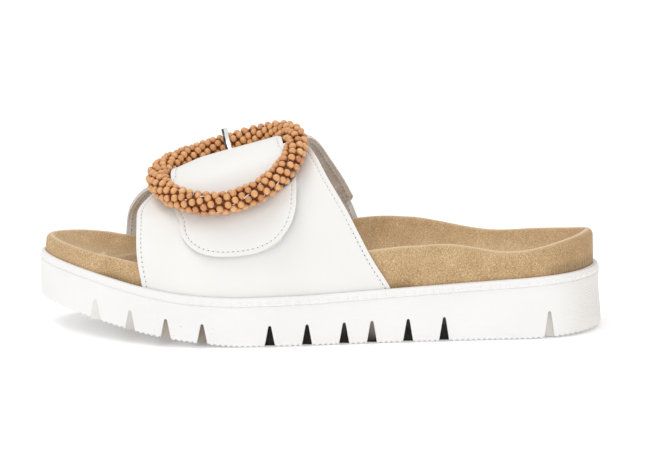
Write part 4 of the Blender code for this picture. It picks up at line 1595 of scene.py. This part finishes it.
# %% Prong
PRONG_THICK = 0.9
PRONG_WIDTH = 2.9
PRONG_SIDE = -0.25
PRONG_STEPS = 150
PAINTED_REFLECTION_EDGE = -0.24
PAINTED_REFLECTION_END = 33.5
PRONG_SECTION = (
    # across     thick
    (1.00,       0.0),
    (0.94,       0.6),
    (0.80,       1.0),
    (PAINTED_REFLECTION_EDGE,  1.0),
    (-0.80,      1.0),
    (-0.94,      0.6),
)
PRONG_SHAFT = (
    # across   up
    (3.5,     -1.20),
    (7.5,     -2.05),
    (10.5,    -2.45),
    (14.5,    -0.40),
    (18.5,     1.10),
    (22.5,     0.95),
    (28.0,    -0.45),
    (33.0,    -0.60),
    (34.6,    -1.10),
    (35.3,    -2.20),
)

eye = BAR_RADIUS + GAP + PRONG_THICK / 2
turns = np.radians(np.arange(85, 361, 11))
path = [(eye * math.sin(turn), eye * math.cos(turn) - BAR_DROP) for turn in turns]
path = np.array(path + list(PRONG_SHAFT))
run = run_along(path)
at = np.linspace(0, run[-1], PRONG_STEPS)
across, up = spline(run, path[:, 0])(at), spline(run, path[:, 1])(at)
way = unit(np.column_stack([np.gradient(across), np.gradient(up)]))
upper_half = np.array(PRONG_SECTION)
wide, thick = np.vstack([upper_half, -upper_half]).T
rings = []
for k, place in enumerate(at):
    left = min(place, run[-1] - place)
    rounded = math.sqrt(max(1 - max(1 - left / (PRONG_WIDTH / 2), 0.0) ** 2, 0.02))
    shift = np.outer(thick * PRONG_THICK / 2 * max(rounded, 0.4), (-way[k, 1], way[k, 0]))
    along = PRONG_AT + PRONG_SIDE + PRONG_LEAN * across[k] + wide * PRONG_WIDTH / 2 * rounded
    rings.append(from_ring(np.column_stack([along, across[k] + shift[:, 0], up[k] + shift[:, 1]])))
bm = extruded_rings(rings)
# Faces on one side of the top, short of the tip, get the painted dark reflection.
for face in bm.faces:
    sizes = (np.array(face.calc_center_median()) - RING_CENTRE) @ RING_AXES.T
    off = sizes[0] - PRONG_AT - PRONG_SIDE - PRONG_LEAN * sizes[1]
    face.material_index = int(off < PAINTED_REFLECTION_EDGE * PRONG_WIDTH / 2 and sizes[1] < PAINTED_REFLECTION_END)
prong = finish_mesh("prong_polished", bm, [steel.material, painted_reflection_steel.material], 40.0)
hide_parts("buckle_prong")

# %% [markdown]
# ## Lean of the heel
# The heel of the platform isn't quite upright: its end leans a little towards the toe, and
# its ledge is narrower there than at the sides. A soft push of the finished meshes, growing
# with height and towards the heel's end, keeps the pieces together while it bends them.

# %% Heel's lean
HEEL_LEAN = 0.8
LEDGE_LEAN = 0.7
LEAN_GROWS = (92.0, 126.0)
LEDGE_GROWS = (127.2, 131.2)
LEAN_RISES = (3.0, 22.0)
for piece, at_ledge in ((footbed, 0.0), (sole, LEDGE_LEAN), (welt_stitches, LEDGE_LEAN)):
    points = points_of(piece)
    lean = HEEL_LEAN * smooth_step(*LEAN_GROWS, points[:, 0])
    lean = lean + at_ledge * smooth_step(*LEDGE_GROWS, points[:, 0])
    points[:, 0] -= lean * smooth_step(*LEAN_RISES, points[:, 2])
    piece.data.vertices.foreach_set("co", (points * MM).astype(np.float32).ravel())
    piece.data.update()
print("heel leans", HEEL_LEAN + LEDGE_LEAN, "mm")

# %% Boxes
new_box = [list(corner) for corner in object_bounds()]
for title, corners in (("frame", CAD_BOX), ("visual", new_box)):
    print(title, [round((b - a) * 1000, 1) for a, b in zip(*corners)], "mm")
